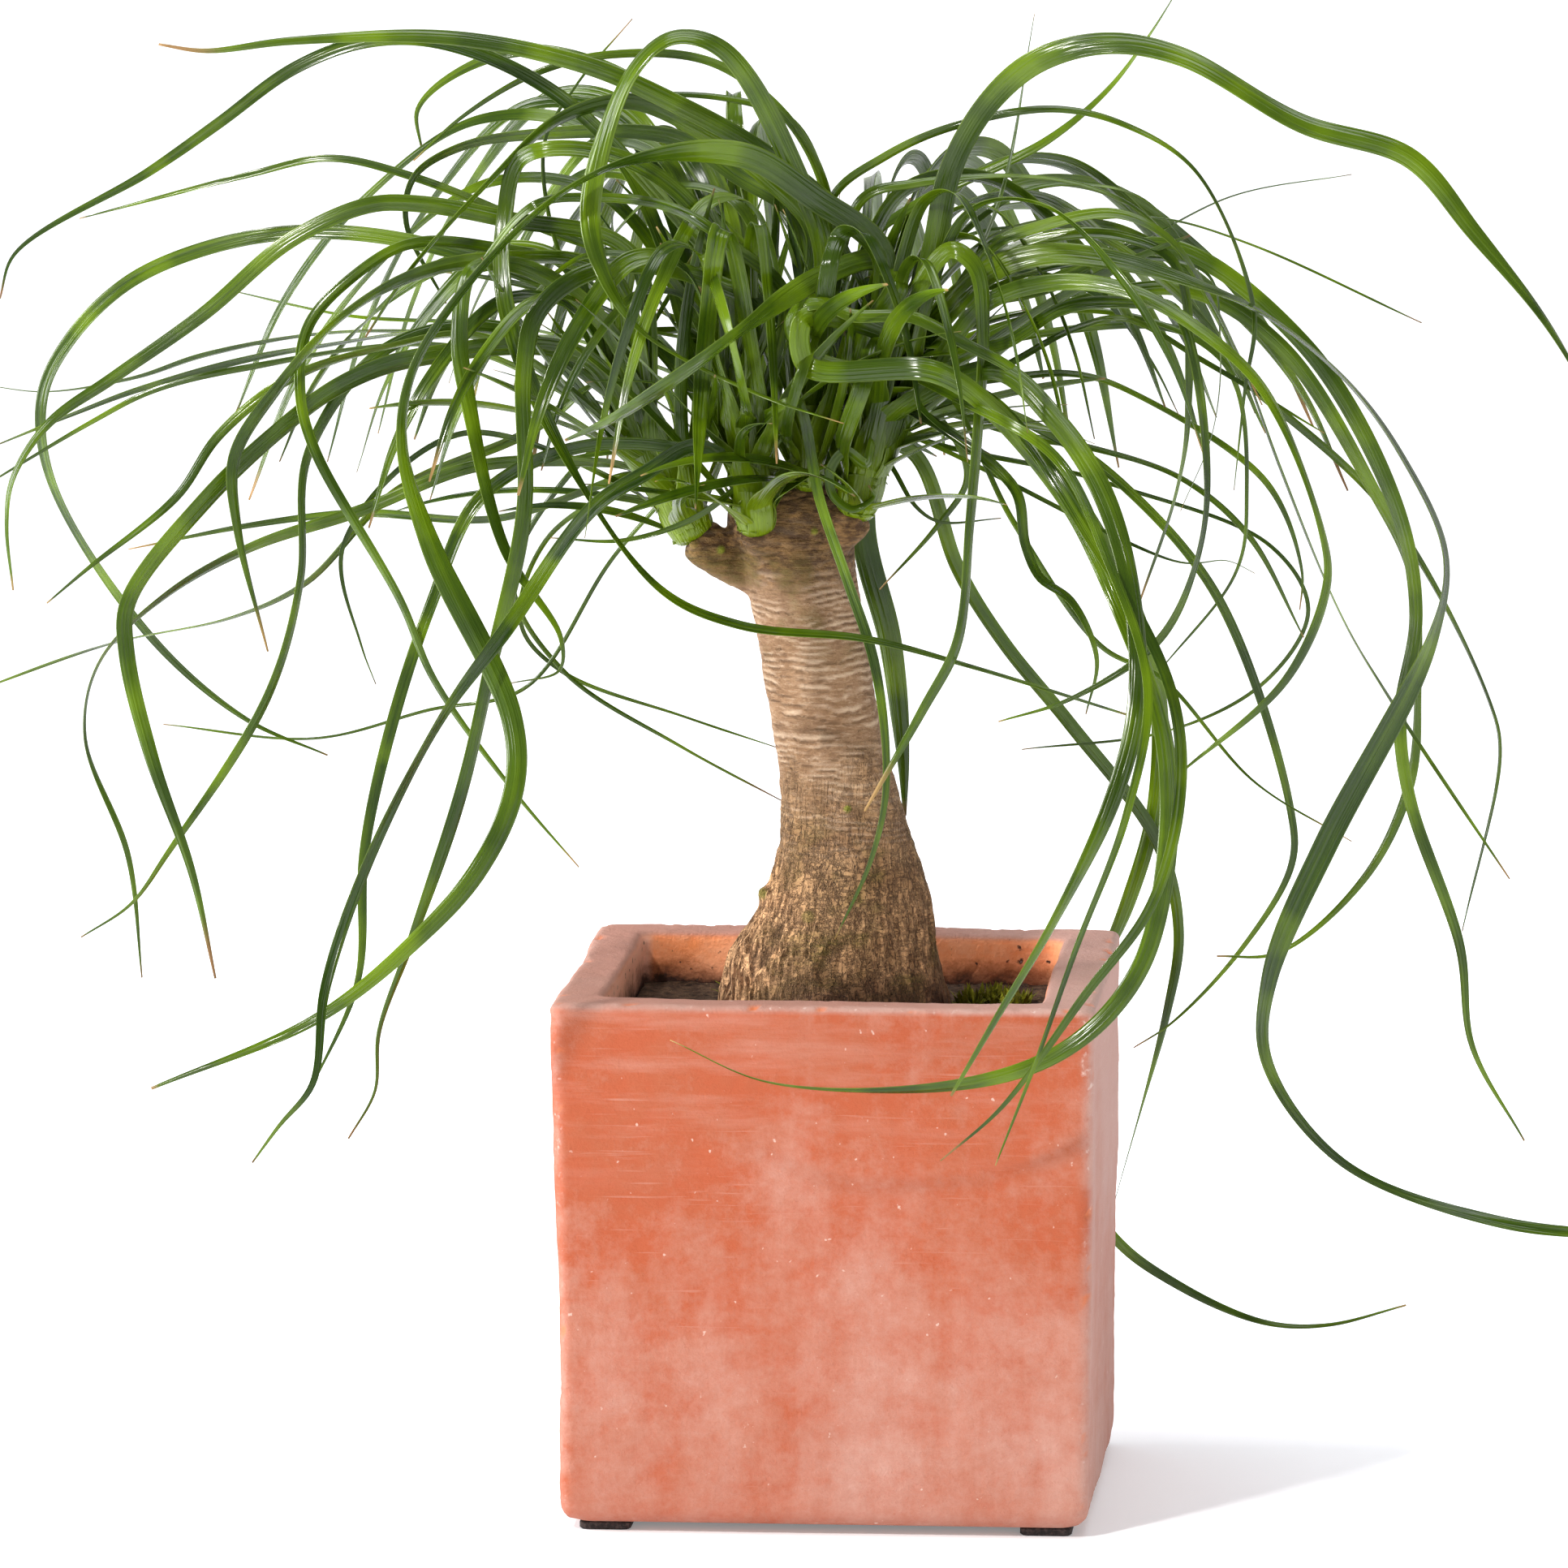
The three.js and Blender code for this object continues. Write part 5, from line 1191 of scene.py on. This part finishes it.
def make_trunk():
    """Bark: rings of leaf scars above, blocky cork and then rope-like ridges towards the foot."""
    points, normals, faces = remeshed(trunk_shell(), BARK["grid"])
    x, y, z = points.T
    middle = np.interp(z, [row[0] for row in TRUNK], [(row[1] + row[2]) / 2 for row in TRUNK])
    angle = np.arctan2(y, x - middle)
    unrolled = np.stack([np.cos(angle) * BARK["girth"], np.sin(angle) * BARK["girth"], z], 1)
    cork = 1 - ease(*BARK["cork"], z + waves(unrolled, BARK["cork_edge"]))
    swirl = unrolled + waves(unrolled, BARK["swirl"])[:, None] * np.array([1, 1, 0])
    ropes = (1 - np.abs(2 * noise(swirl, BARK["ropes"], 22, 2) - 1)) ** 2
    plates = (noise(swirl, BARK["plates"], 23, 2) - 0.5) * 2 * BARK["plate_depth"]
    low = 1 - ease(*BARK["roped"], z + waves(unrolled, BARK["roped_edge"]))
    calm = ease(*BARK["calm_side"], np.cos(angle - BARK["calm_azimuth"]))
    calm = calm * (1 - ease(*BARK["calm_top"], z))
    ring = (z / BARK["scar_pitch"] + waves(unrolled, BARK["wander"])) % 1
    # Each scar ring's ridge also gets a painted highlight, and its crease painted shade, in the bark's
    # colour.
    ridge_highlight = swell(*BARK["ridge_highlight"], ring) * ease(0.42, 0.66, noise(unrolled, BARK["patches"], 13, 3))
    crease_shade = swell(*BARK["crease_shade"], ring) * ease(0.4, 0.62, noise(unrolled, BARK["patches"], 14, 3))
    scars = waves(unrolled, BARK["scars"]) + (ridge_highlight - crease_shade) * BARK["scar_height"]
    rough = low * (ropes * BARK["rope_depth"] - 0.8) + (1 - low) * plates
    move = waves(points, BARK["lumps"]) * (0.35 + 0.65 * cork) + waves(points, BARK["fine"])
    move = move + scars * (1 - cork) + rough * (1 - 0.6 * calm) * cork
    move = move * (1 - 0.6 * ease(*BARK["stubs"], z + np.abs(x + 30) * 0.1))
    faced = np.sum(normals * unit(EYE - points), 1) > 0
    shown = np.stack(as_seen(points.T), 1)
    green = np.zeros(len(points))
    for knob_x, knob_z, radius, rise, tint in KNOBS:
        near = np.exp(-np.sum((shown - (knob_x, knob_z)) ** 2, 1) / (0.5 * radius**2)) * faced
        move = move + rise * near
        green = np.maximum(green, tint * ease(0.3, 0.7, near))
    # Darker towards the foot, where the trunk meets the soil, most on the calm side.
    dark_foot = 1 - ease(*BARK["dark_foot"], z + waves(unrolled, BARK["dark_foot_edge"]))
    moss = ease(0.42, 0.6, noise(unrolled, 20, 32, 3)) * (0.2 + 0.8 * calm) * cork
    high_moss = swell(*BARK["high_moss"], z) * ease(0.5, 0.66, noise(unrolled, 26, 33, 3))
    layers = {
        "ridge_highlight": ridge_highlight, "crease_shade": crease_shade, "ropes": ropes, "cork": cork, "low": low, "calm": calm,
        "dark_foot": dark_foot * (0.1 + 0.9 * calm), "moss": np.maximum(moss, high_moss * 0.8),
        "crown": ease(*BARK["crown"], z), "green": green,
    }
    return mesh_object("Trunk_bark", points + normals * move[:, None], faces, layers)


# ---------------------------------------------------------------- soil


def make_soil():
    """The soil's rough top with its sides down to the pot's floor, and the sprigs on it."""
    half = POT["top_width"] / 2
    gap = SOIL["gap"]
    left, right, side = -half + POT["wall_left"], half - POT["wall_right"], half - POT["wall_front"]
    columns, lines = int((right - left) / SOIL["grid"]), int(2 * side / SOIL["grid"])
    across = np.linspace(left + gap, right - gap, columns)
    x, y = np.meshgrid(across, np.linspace(-side + gap, side - gap, lines))
    flat = np.stack([x.ravel(), y.ravel(), np.full(x.size, float(SOIL["top"]))], 1)
    crumbs = np.clip(noise(flat, 5, 41, 3) - 0.42, 0, 1) * SOIL["crumbs"]
    flat[:, 2] += crumbs + waves(flat, SOIL["mounds"])
    grid = np.arange(lines * columns).reshape(lines, columns)
    rim = np.concatenate([grid[0], grid[1:, -1], grid[-1, -2::-1], grid[-2:0:-1, 0]])
    skirt = flat[rim].copy()
    skirt[:, 2] = POT_FOOT_Z + POT["floor"] + SOIL["floor_gap"]
    below = np.arange(len(rim)) + len(flat)
    faces = sheet_faces(lines, columns, around=False) + band_faces(below, rim) + [below[::-1].tolist()]
    pile = Pile()
    pile.add(np.vstack([flat, skirt]), faces, moss=0.0)
    draw = dice(SPRIGS["seed"])
    for _ in range(SPRIGS["count"]):
        x, y, across, deep = SPRIGS["patches"][int(draw(0, len(SPRIGS["patches"])))]
        foot = np.array([x + across * draw(-1, 1), y + deep * draw(-1, 1), SOIL["top"] - 1])
        turn = draw(0, 2 * math.pi)
        lean = draw(*SPRIGS["lean"])
        side = level(turn)
        heading = np.array([side[1] * math.sin(lean), -side[0] * math.sin(lean), math.cos(lean)])
        side = side * draw(*SPRIGS["width"]) / 2
        tall = draw(*SPRIGS["height"])
        middle = foot + heading * tall * 0.55 + side * draw(-1, 1)
        tip = foot + heading * tall - np.array([0, 0, SPRIGS["sag"] * tall])
        blade = [foot - side * 0.4, foot + side * 0.4, middle - side, middle + side, tip]
        pile.add(blade, [[0, 1, 3, 2], [2, 3, 4]], moss=draw(0.4, 1))
    return pile.make("Soil_top")


# ---------------------------------------------------------------- materials


class Paint:
    """A material's node tree, with one short method for each kind of node that it needs."""

    def __init__(self, name):
        self.material = bpy.data.materials.new(name)
        self.material.use_nodes = True
        self.tree = self.material.node_tree
        self.tree.nodes.clear()
        self.output = self.tree.nodes.new("ShaderNodeOutputMaterial")
        self.place = self.add("ShaderNodeTexCoord", {}, "Object")

    def add(self, kind, inputs, output=0, **settings):
        node = self.tree.nodes.new(kind)
        for key, value in settings.items():
            setattr(node, key, value)
        for key, value in inputs.items():
            if isinstance(value, bpy.types.NodeSocket):
                self.tree.links.new(value, node.inputs[key])
            else:
                node.inputs[key].default_value = value
        return node.outputs[output]

    def layer(self, name, output="Fac"):
        return self.add("ShaderNodeAttribute", {}, output, attribute_name=name)

    def maths(self, operation, a, b=0.0):
        return self.add("ShaderNodeMath", {0: a, 1: b}, operation=operation)

    def times(self, a, b):
        return self.maths("MULTIPLY", a, b)

    def plus(self, first, *others):
        for other in others:
            first = self.maths("ADD", first, other)
        return first

    def noise(self, size, detail, rough, stretch=(1, 1, 1), place=None):
        """Noise with features of the given size in metres, finer along an axis that is stretched."""
        inputs = {0: place or self.place, 1: stretch}
        vector = self.add("ShaderNodeVectorMath", inputs, operation="MULTIPLY")
        inputs = {"Vector": vector, "Scale": 1 / size, "Detail": detail, "Roughness": rough}
        return self.add("ShaderNodeTexNoise", inputs)

    def ramp(self, value, low, high, start=0.0, end=1.0):
        """The value's range from low to high, stretched over start to end and clamped."""
        inputs = {"Value": value, "From Min": low, "From Max": high, "To Min": start, "To Max": end}
        return self.add("ShaderNodeMapRange", inputs)

    def blend(self, share, a, b):
        a, b = ((*c, 1) if isinstance(c, tuple) and len(c) == 3 else c for c in (a, b))
        return self.add("ShaderNodeMix", {0: share, 6: a, 7: b}, 2, data_type="RGBA")

    def coats(self, colour, *rows):
        """Colours laid over one another: each row is how much of it shows, and the colour."""
        for share, tint in rows:
            colour = self.blend(share, colour, tint)
        return colour

    def bump(self, height, distance, *normal):
        inputs = {"Height": height, "Distance": distance, "Strength": 1.0}
        inputs.update(zip(["Normal"], normal))
        return self.add("ShaderNodeBump", inputs)

    def surface(self, colour, rough, normal, specular):
        return self.add("ShaderNodeBsdfPrincipled", {
            "Base Color": colour, "Roughness": rough, "Normal": normal, "Specular IOR Level": specular,
        })

    def finish(self, shader):
        self.tree.links.new(shader, self.output.inputs["Surface"])
        return self.material


def clay():
    """Terracotta: orange under patchy pale bloom, worn pale edges and a fine grain; inside, walls
    brightened as painted light, darker just above the soil.
    """
    paint = Paint("Clay")
    ramp, times, layer = paint.ramp, paint.times, paint.layer
    cloud = paint.noise(0.085, 8.0, 0.6)
    patch = paint.noise(0.026, 7.0, 0.72, (1, 1, 1.3))
    dust = paint.noise(0.007, 6.0, 0.75)
    smear = paint.noise(0.10, 6.0, 0.65, (1, 1, 8))
    fall = paint.noise(0.12, 5.0, 0.6, (7, 7, 0.7))
    scratch = paint.noise(0.05, 3.0, 0.55, (1, 1, 34))
    grain = paint.noise(0.0016, 3.0, 0.65)
    speck = paint.noise(0.0042, 2.0, 0.5)
    side, height = (paint.add("ShaderNodeSeparateXYZ", {0: paint.place}, axis) for axis in (0, 2))
    inner = layer("inner")
    mottle = paint.plus(
        times(cloud, 0.42), times(patch, 0.32), times(dust, 0.26),
        ramp(height, 0.19, 0.02, -0.055, 0.115), ramp(side, -0.12, 0.0, -0.075, 0.01),
        ramp(fall, 0.3, 0.7, -0.045, 0.045),
    )
    smears = times(ramp(smear, 0.48, 0.74, 0, 0.5), ramp(height, 0.15, 0.20))
    streaks = paint.maths("MAXIMUM", smears, ramp(scratch, 0.62, 0.72, 0, 0.4))
    bloom = paint.maths("MAXIMUM", ramp(mottle, 0.42, 0.72, 0, 0.9), streaks)
    warm = paint.blend(ramp(patch, 0.4, 0.6), (0.40, 0.088, 0.036), (0.385, 0.098, 0.044))
    pale = paint.blend(ramp(cloud, 0.35, 0.65), (0.49, 0.235, 0.175), (0.53, 0.29, 0.23))
    brim = paint.blend(ramp(side, 0.02, 0.11), (0.385, 0.225, 0.185), (0.47, 0.315, 0.28))
    # The inside walls' own deeper orange, brightened close to full albedo as painted light where little
    # light reaches.
    inside_painted_bright = paint.blend(ramp(patch, 0.4, 0.6), (0.96, 0.31, 0.115), (0.95, 0.39, 0.20))
    soil_line = paint.plus(height, ramp(patch, 0.35, 0.65, -0.005, 0.005))
    worn = times(layer("worn"), ramp(patch, 0.42, 0.56, 0.25, 1))
    colour = paint.coats(
        paint.blend(bloom, warm, pale),
        (times(ramp(side, 0.1215, 0.1245), 0.75), (0.50, 0.33, 0.29)),
        (times(layer("rim"), 0.75), brim),
        (inner, inside_painted_bright),
        # painted light: the inside-left wall, which lies in shade, paler and brighter
        (times(inner, ramp(side, -0.0985, -0.1015, 0, 0.6)), (0.80, 0.54, 0.47)),
        # darker just above the soil line inside the pot
        (times(inner, ramp(soil_line, 0.240, 0.226)), (0.045, 0.02, 0.014)),
        (times(inner, ramp(speck, 0.66, 0.72)), (0.06, 0.028, 0.02)),
        (times(worn, 0.45), (0.52, 0.35, 0.30)),
        (times(layer("worn"), ramp(speck, 0.65, 0.71, 0, 0.5)), (0.64, 0.50, 0.45)),
        (layer("chips"), (0.60, 0.17, 0.07)),
        (ramp(speck, 0.735, 0.78, 0, 0.55), (0.72, 0.56, 0.48)),
        (ramp(grain, 0.62, 0.75, 0, 0.3), (0.36, 0.08, 0.04)),
    )
    rough = paint.plus(times(grain, 0.12), 0.76)
    normal = paint.bump(grain, 0.0004, paint.bump(patch, 0.0012))
    return paint.finish(paint.surface(colour, rough, normal, 0.25))


def rubber():
    """Dark speckled rubber for the pads."""
    paint = Paint("Pad_stone")
    speck = paint.noise(0.0018, 2.0, 0.6)
    colour = paint.blend(paint.ramp(speck, 0.45, 0.65), (0.015, 0.01, 0.009), (0.06, 0.04, 0.036))
    return paint.finish(paint.surface(colour, 0.85, paint.bump(speck, 0.0004), 0.5))


def earth():
    """Dark crumbly soil with pale fibres, and the green of the sprigs."""
    paint = Paint("Soil_dark")
    crumb = paint.noise(0.004, 4.0, 0.65)
    fibre = paint.noise(0.0012, 2.0, 0.6)
    colour = paint.coats(
        paint.blend(paint.ramp(crumb, 0.35, 0.7), (0.016, 0.009, 0.006), (0.11, 0.065, 0.04)),
        (paint.ramp(fibre, 0.66, 0.74), (0.30, 0.20, 0.12)),
        (paint.layer("moss"), (0.26, 0.27, 0.012)),
    )
    return paint.finish(paint.surface(colour, 0.93, paint.bump(crumb, 0.002), 0.2))


def bark():
    """Tan bark: leaf-scar rings above, corky brown ropes below, moss, a darker foot; painted highlights on
    scar ridges, painted shade in creases, rope grooves and the crown.
    """
    paint = Paint("Bark")
    ramp, times, layer = paint.ramp, paint.times, paint.layer
    cloud = paint.noise(0.028, 3.0, 0.6)
    grain = paint.noise(0.0013, 3.0, 0.65)
    wrinkle = paint.noise(0.006, 4.0, 0.7, (1, 1, 5))
    flakes = paint.noise(0.006, 4.0, 0.7, (1, 1, 2.4))
    strand = ramp(paint.noise(0.0024, 3.0, 0.6, (1, 1, 0.07)), 0.42, 0.53)
    crease_shade = layer("crease_shade")

    def cracked(stretch):
        """Thin lines where a noise crosses its middle value."""
        off = paint.maths("ABSOLUTE", paint.plus(paint.noise(0.014, 4.0, 0.7, stretch), -0.5))
        return ramp(off, 0.004, 0.03, 1, 0)

    cracks = paint.maths("MAXIMUM", times(cracked((1, 1, 3.4)), 0.6), cracked((2.2, 2.2, 0.7)))
    tan = paint.coats(
        paint.blend(ramp(cloud, 0.3, 0.7), (0.255, 0.14, 0.068), (0.43, 0.262, 0.148)),
        (ramp(wrinkle, 0.36, 0.5, 0.6, 0), (0.19, 0.10, 0.05)),
        (ramp(wrinkle, 0.52, 0.66, 0, 0.5), (0.60, 0.43, 0.29)),
        (ramp(grain, 0.3, 0.55, 0.4, 0), (0.17, 0.085, 0.04)),
        # painted highlight on the scar ridges, then painted shade in their creases
        (times(layer("ridge_highlight"), 0.8), (0.66, 0.48, 0.33)),
        (times(crease_shade, 0.7), (0.15, 0.08, 0.04)),
        # the crown's dark scaly bark, darkened as painted shade of the leaves above it
        (times(layer("crown"), 0.85),
            paint.blend(ramp(flakes, 0.42, 0.6), (0.055, 0.024, 0.006), (0.25, 0.135, 0.045))),
    )
    plated = paint.coats(
        paint.blend(ramp(cloud, 0.35, 0.65), (0.31, 0.165, 0.07), (0.50, 0.295, 0.14)),
        (ramp(wrinkle, 0.38, 0.5, 0.5, 0), (0.12, 0.058, 0.025)),
        (ramp(grain, 0.35, 0.6, 0.4, 0), (0.12, 0.058, 0.025)),
        (times(cracks, 0.75), (0.075, 0.034, 0.015)),
    )
    roped = paint.coats(
        paint.blend(strand, (0.16, 0.068, 0.026), (0.80, 0.45, 0.23)),
        # painted shade in the grooves between the ropes
        (ramp(layer("ropes"), 0.2, 0.55, 0.88, 0), (0.085, 0.038, 0.017)),
    )
    colour = paint.coats(
        tan,
        (layer("cork"), paint.blend(times(layer("low"), ramp(layer("calm"), 0, 1, 1, 0.3)), plated, roped)),
        (times(layer("moss"), ramp(wrinkle, 0.38, 0.6, 0.2, 0.75)), (0.125, 0.10, 0.012)),
        # darker towards the foot, most on the calm side
        (times(layer("dark_foot"), 0.85), (0.062, 0.022, 0.011)),
        (layer("green"), (0.22, 0.24, 0.02)),
    )
    relief = paint.plus(wrinkle, times(crease_shade, -0.5))
    rugged = paint.plus(times(cracks, -0.8), strand)
    mixed = paint.add("ShaderNodeMix", {0: layer("cork"), 2: relief, 3: rugged}, 0, data_type="FLOAT")
    normal = paint.bump(grain, 0.0005, paint.bump(mixed, 0.0018))
    return paint.finish(paint.surface(colour, 0.84, normal, 0.3))


def leaf_skin():
    """Strap leaves: ribbed green with a gloss, yellow-green at the base and dry at the tip, with painted
    light and shade in bands along them.
    """
    paint = Paint("Leaf")
    ramp, times, layer = paint.ramp, paint.times, paint.layer
    strap = layer("strap", "Vector")
    tint = layer("tint")
    ribs = paint.noise(0.0015, 2.0, 0.5, (1, 0.01, 1), strap)
    stripes = paint.noise(0.0035, 1.0, 0.5, (1, 0.02, 1), strap)
    light_and_shade_bands = paint.noise(0.05, 2.0, 0.5, (0.3, 1, 1), strap)
    dry = layer("dry")
    colour = paint.coats(
        paint.blend(tint, (0.014, 0.038, 0.001), (0.100, 0.170, 0.003)),
        (ramp(stripes, 0.4, 0.7, 0, 0.4), (0.15, 0.24, 0.005)),
        (ramp(ribs, 0.42, 0.6, 0, 0.7), (0.018, 0.045, 0.002)),
        (times(layer("under"), 0.35), (0.090, 0.155, 0.006)),
        # painted light and shade along the leaves: bright bands stand for light glowing through, dark bands
        # for a side in shadow
        (ramp(light_and_shade_bands, 0.53, 0.66, 0, 0.6), (0.17, 0.27, 0.004)),
        (ramp(light_and_shade_bands, 0.49, 0.36, 0, 0.75), (0.020, 0.043, 0.003)),
        (times(layer("young"), 0.75), (0.22, 0.32, 0.006)),
        (dry, paint.blend(tint, (0.16, 0.065, 0.025), (0.48, 0.28, 0.10))),
        (ramp(layer("edge"), 0.9, 1.0, 0, 0.3), (0.27, 0.36, 0.06)),
    )
    normal = paint.bump(ribs, 0.0010)
    skin = paint.surface(colour, paint.plus(times(dry, 0.4), 0.17), normal, 0.44)
    through = paint.add("ShaderNodeBsdfTranslucent", {
        "Color": paint.blend(0.6, colour, (0.30, 0.50, 0.004)), "Normal": normal,
    })
    return paint.finish(paint.add("ShaderNodeMixShader", {0: 0.25, 1: skin, 2: through}))


def paper():
    """The white floor, which glows a little more the further away it is."""
    paint = Paint("Floor_white")
    away = paint.add("ShaderNodeVectorMath", {0: paint.place}, 1, operation="LENGTH")
    glow = paint.ramp(away, *ROOM["between"], *ROOM["floor_glow"])
    return paint.finish(paint.add("ShaderNodeBsdfPrincipled", {
        "Base Color": (0.84, 0.86, 0.90, 1), "Roughness": 0.8, "Specular IOR Level": 0.1,
        "Emission Color": (1, 1, 1, 1), "Emission Strength": glow,
    }))


def glow_board():
    """The wall's even white glow."""
    paint = Paint("Wall_white")
    return paint.finish(paint.add("ShaderNodeEmission", {"Color": (1, 1, 1, 1), "Strength": ROOM["glow"]}))


# ---------------------------------------------------------------- stage

WORLD = 0.22
# Each light: place, what it faces, size across and up, power and colour, in metres and watts.
LIGHTS = {
    "Key": ((-1.35, -2.3, 2.6), (0, 0, 0.2), (0.24, 0.24), 90, (1.0, 0.98, 0.94)),
    "Left": ((-2.2, -0.2, 1.1), (0, 0, 0.35), (0.9, 1.5), 70, (1.0, 1.0, 1.0)),
    "Right": ((2.4, -1.2, 1.2), (0, 0, 0.3), (1.2, 1.6), 9, (0.93, 0.96, 1.0)),
    "Top": ((0.1, 0.4, 2.6), (0, 0, 0.2), (1.8, 1.4), 38, (0.96, 0.98, 1.0)),
}
# A round white floor and a low glowing wall far round it, in metres.
ROOM = {
    "radius": 14, "height": 5, "sides": 64, "glow": 1.0, "floor_glow": (0.22, 0.9), "between": (0.2, 1.0),
}


def aim(made, place, target):
    """Puts an object at a place, looking at its target."""
    made.location = place
    made.rotation_euler = (Vector(target) - Vector(place)).to_track_quat("-Z", "Y").to_euler()


def build_stage():
    """The white room, its lights and the camera."""
    angle = np.linspace(0, 2 * math.pi, ROOM["sides"], endpoint=False)
    ring = np.stack([np.cos(angle), np.sin(angle), 0 * angle], 1) * ROOM["radius"] / MM
    top = ring + np.array([0, 0, ROOM["height"] / MM])
    floor = mesh_object("Floor", ring, [list(range(ROOM["sides"]))])
    floor.data.materials.append(paper())
    wall = mesh_object("Wall", np.vstack([ring, top]), sheet_faces(2, ROOM["sides"]))
    wall.data.materials.append(glow_board())
    floor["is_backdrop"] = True
    wall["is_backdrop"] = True
    world = bpy.data.worlds.new("Room")
    world.use_nodes = True
    back = world.node_tree.nodes["Background"]
    back.inputs["Color"].default_value = (1, 1, 1, 1)
    back.inputs["Strength"].default_value = WORLD
    bpy.context.scene.world = world
    for name, (place, target, size, power, colour) in LIGHTS.items():
        light = bpy.data.lights.new(name, "AREA")
        light.shape = "RECTANGLE"
        light.size, light.size_y = size
        light.energy = power
        light.color = colour
        made = bpy.data.objects.new(name, light)
        bpy.context.scene.collection.objects.link(made)
        aim(made, place, target)
    camera = bpy.data.objects.new("Camera", bpy.data.cameras.new("Camera"))
    camera.data.lens = LENS
    camera.data.sensor_width = 36
    camera.data.clip_end = 100
    bpy.context.scene.collection.objects.link(camera)
    aim(camera, EYE * MM, LOOK_AT * MM)
    bpy.context.scene.camera = camera
    bpy.context.scene.view_settings.view_transform = "Standard"


# ---------------------------------------------------------------- assembly


def dress(made, material, slot, *nodes):
    """Gives a piece its material and body, and the solids that it replaces; its slot is not used."""
    made.data.materials.clear()
    made.data.materials.append(material)
    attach(made, "root")
    if nodes:
        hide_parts(*nodes)


def build():
    """Every piece over its solid, and the stage; returns the solids' own box."""
    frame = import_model()
    solid_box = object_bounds()
    dress(make_pot(), clay(), "terracotta", "pot")
    dress(make_soil(), earth(), "soil", "soil")
    dress(make_trunk(), bark(), "bark", "trunk")
    stone = rubber()
    for name, node in frame["nodes"].items():
        if name.startswith("pad_"):
            node.data.materials.clear()
            node.data.materials.append(stone)
    leaves = gather_leaves()
    for leaf in leaves:
        place_rings(leaf)
    spread(leaves)
    leaves += fan_leaves() + curled_leaves()
    skin = leaf_skin()
    for head in HEADS:
        pile = Pile()
        add_shoot(pile, head)
        for number, leaf in enumerate(leaves):
            if leaf["head"] == head:
                add_strap(pile, leaf, number)
        dress(pile.make(f"Leaves_{head}"), skin, "foliage", f"head_{head}")
    build_stage()
    return solid_box


solid_box = build()
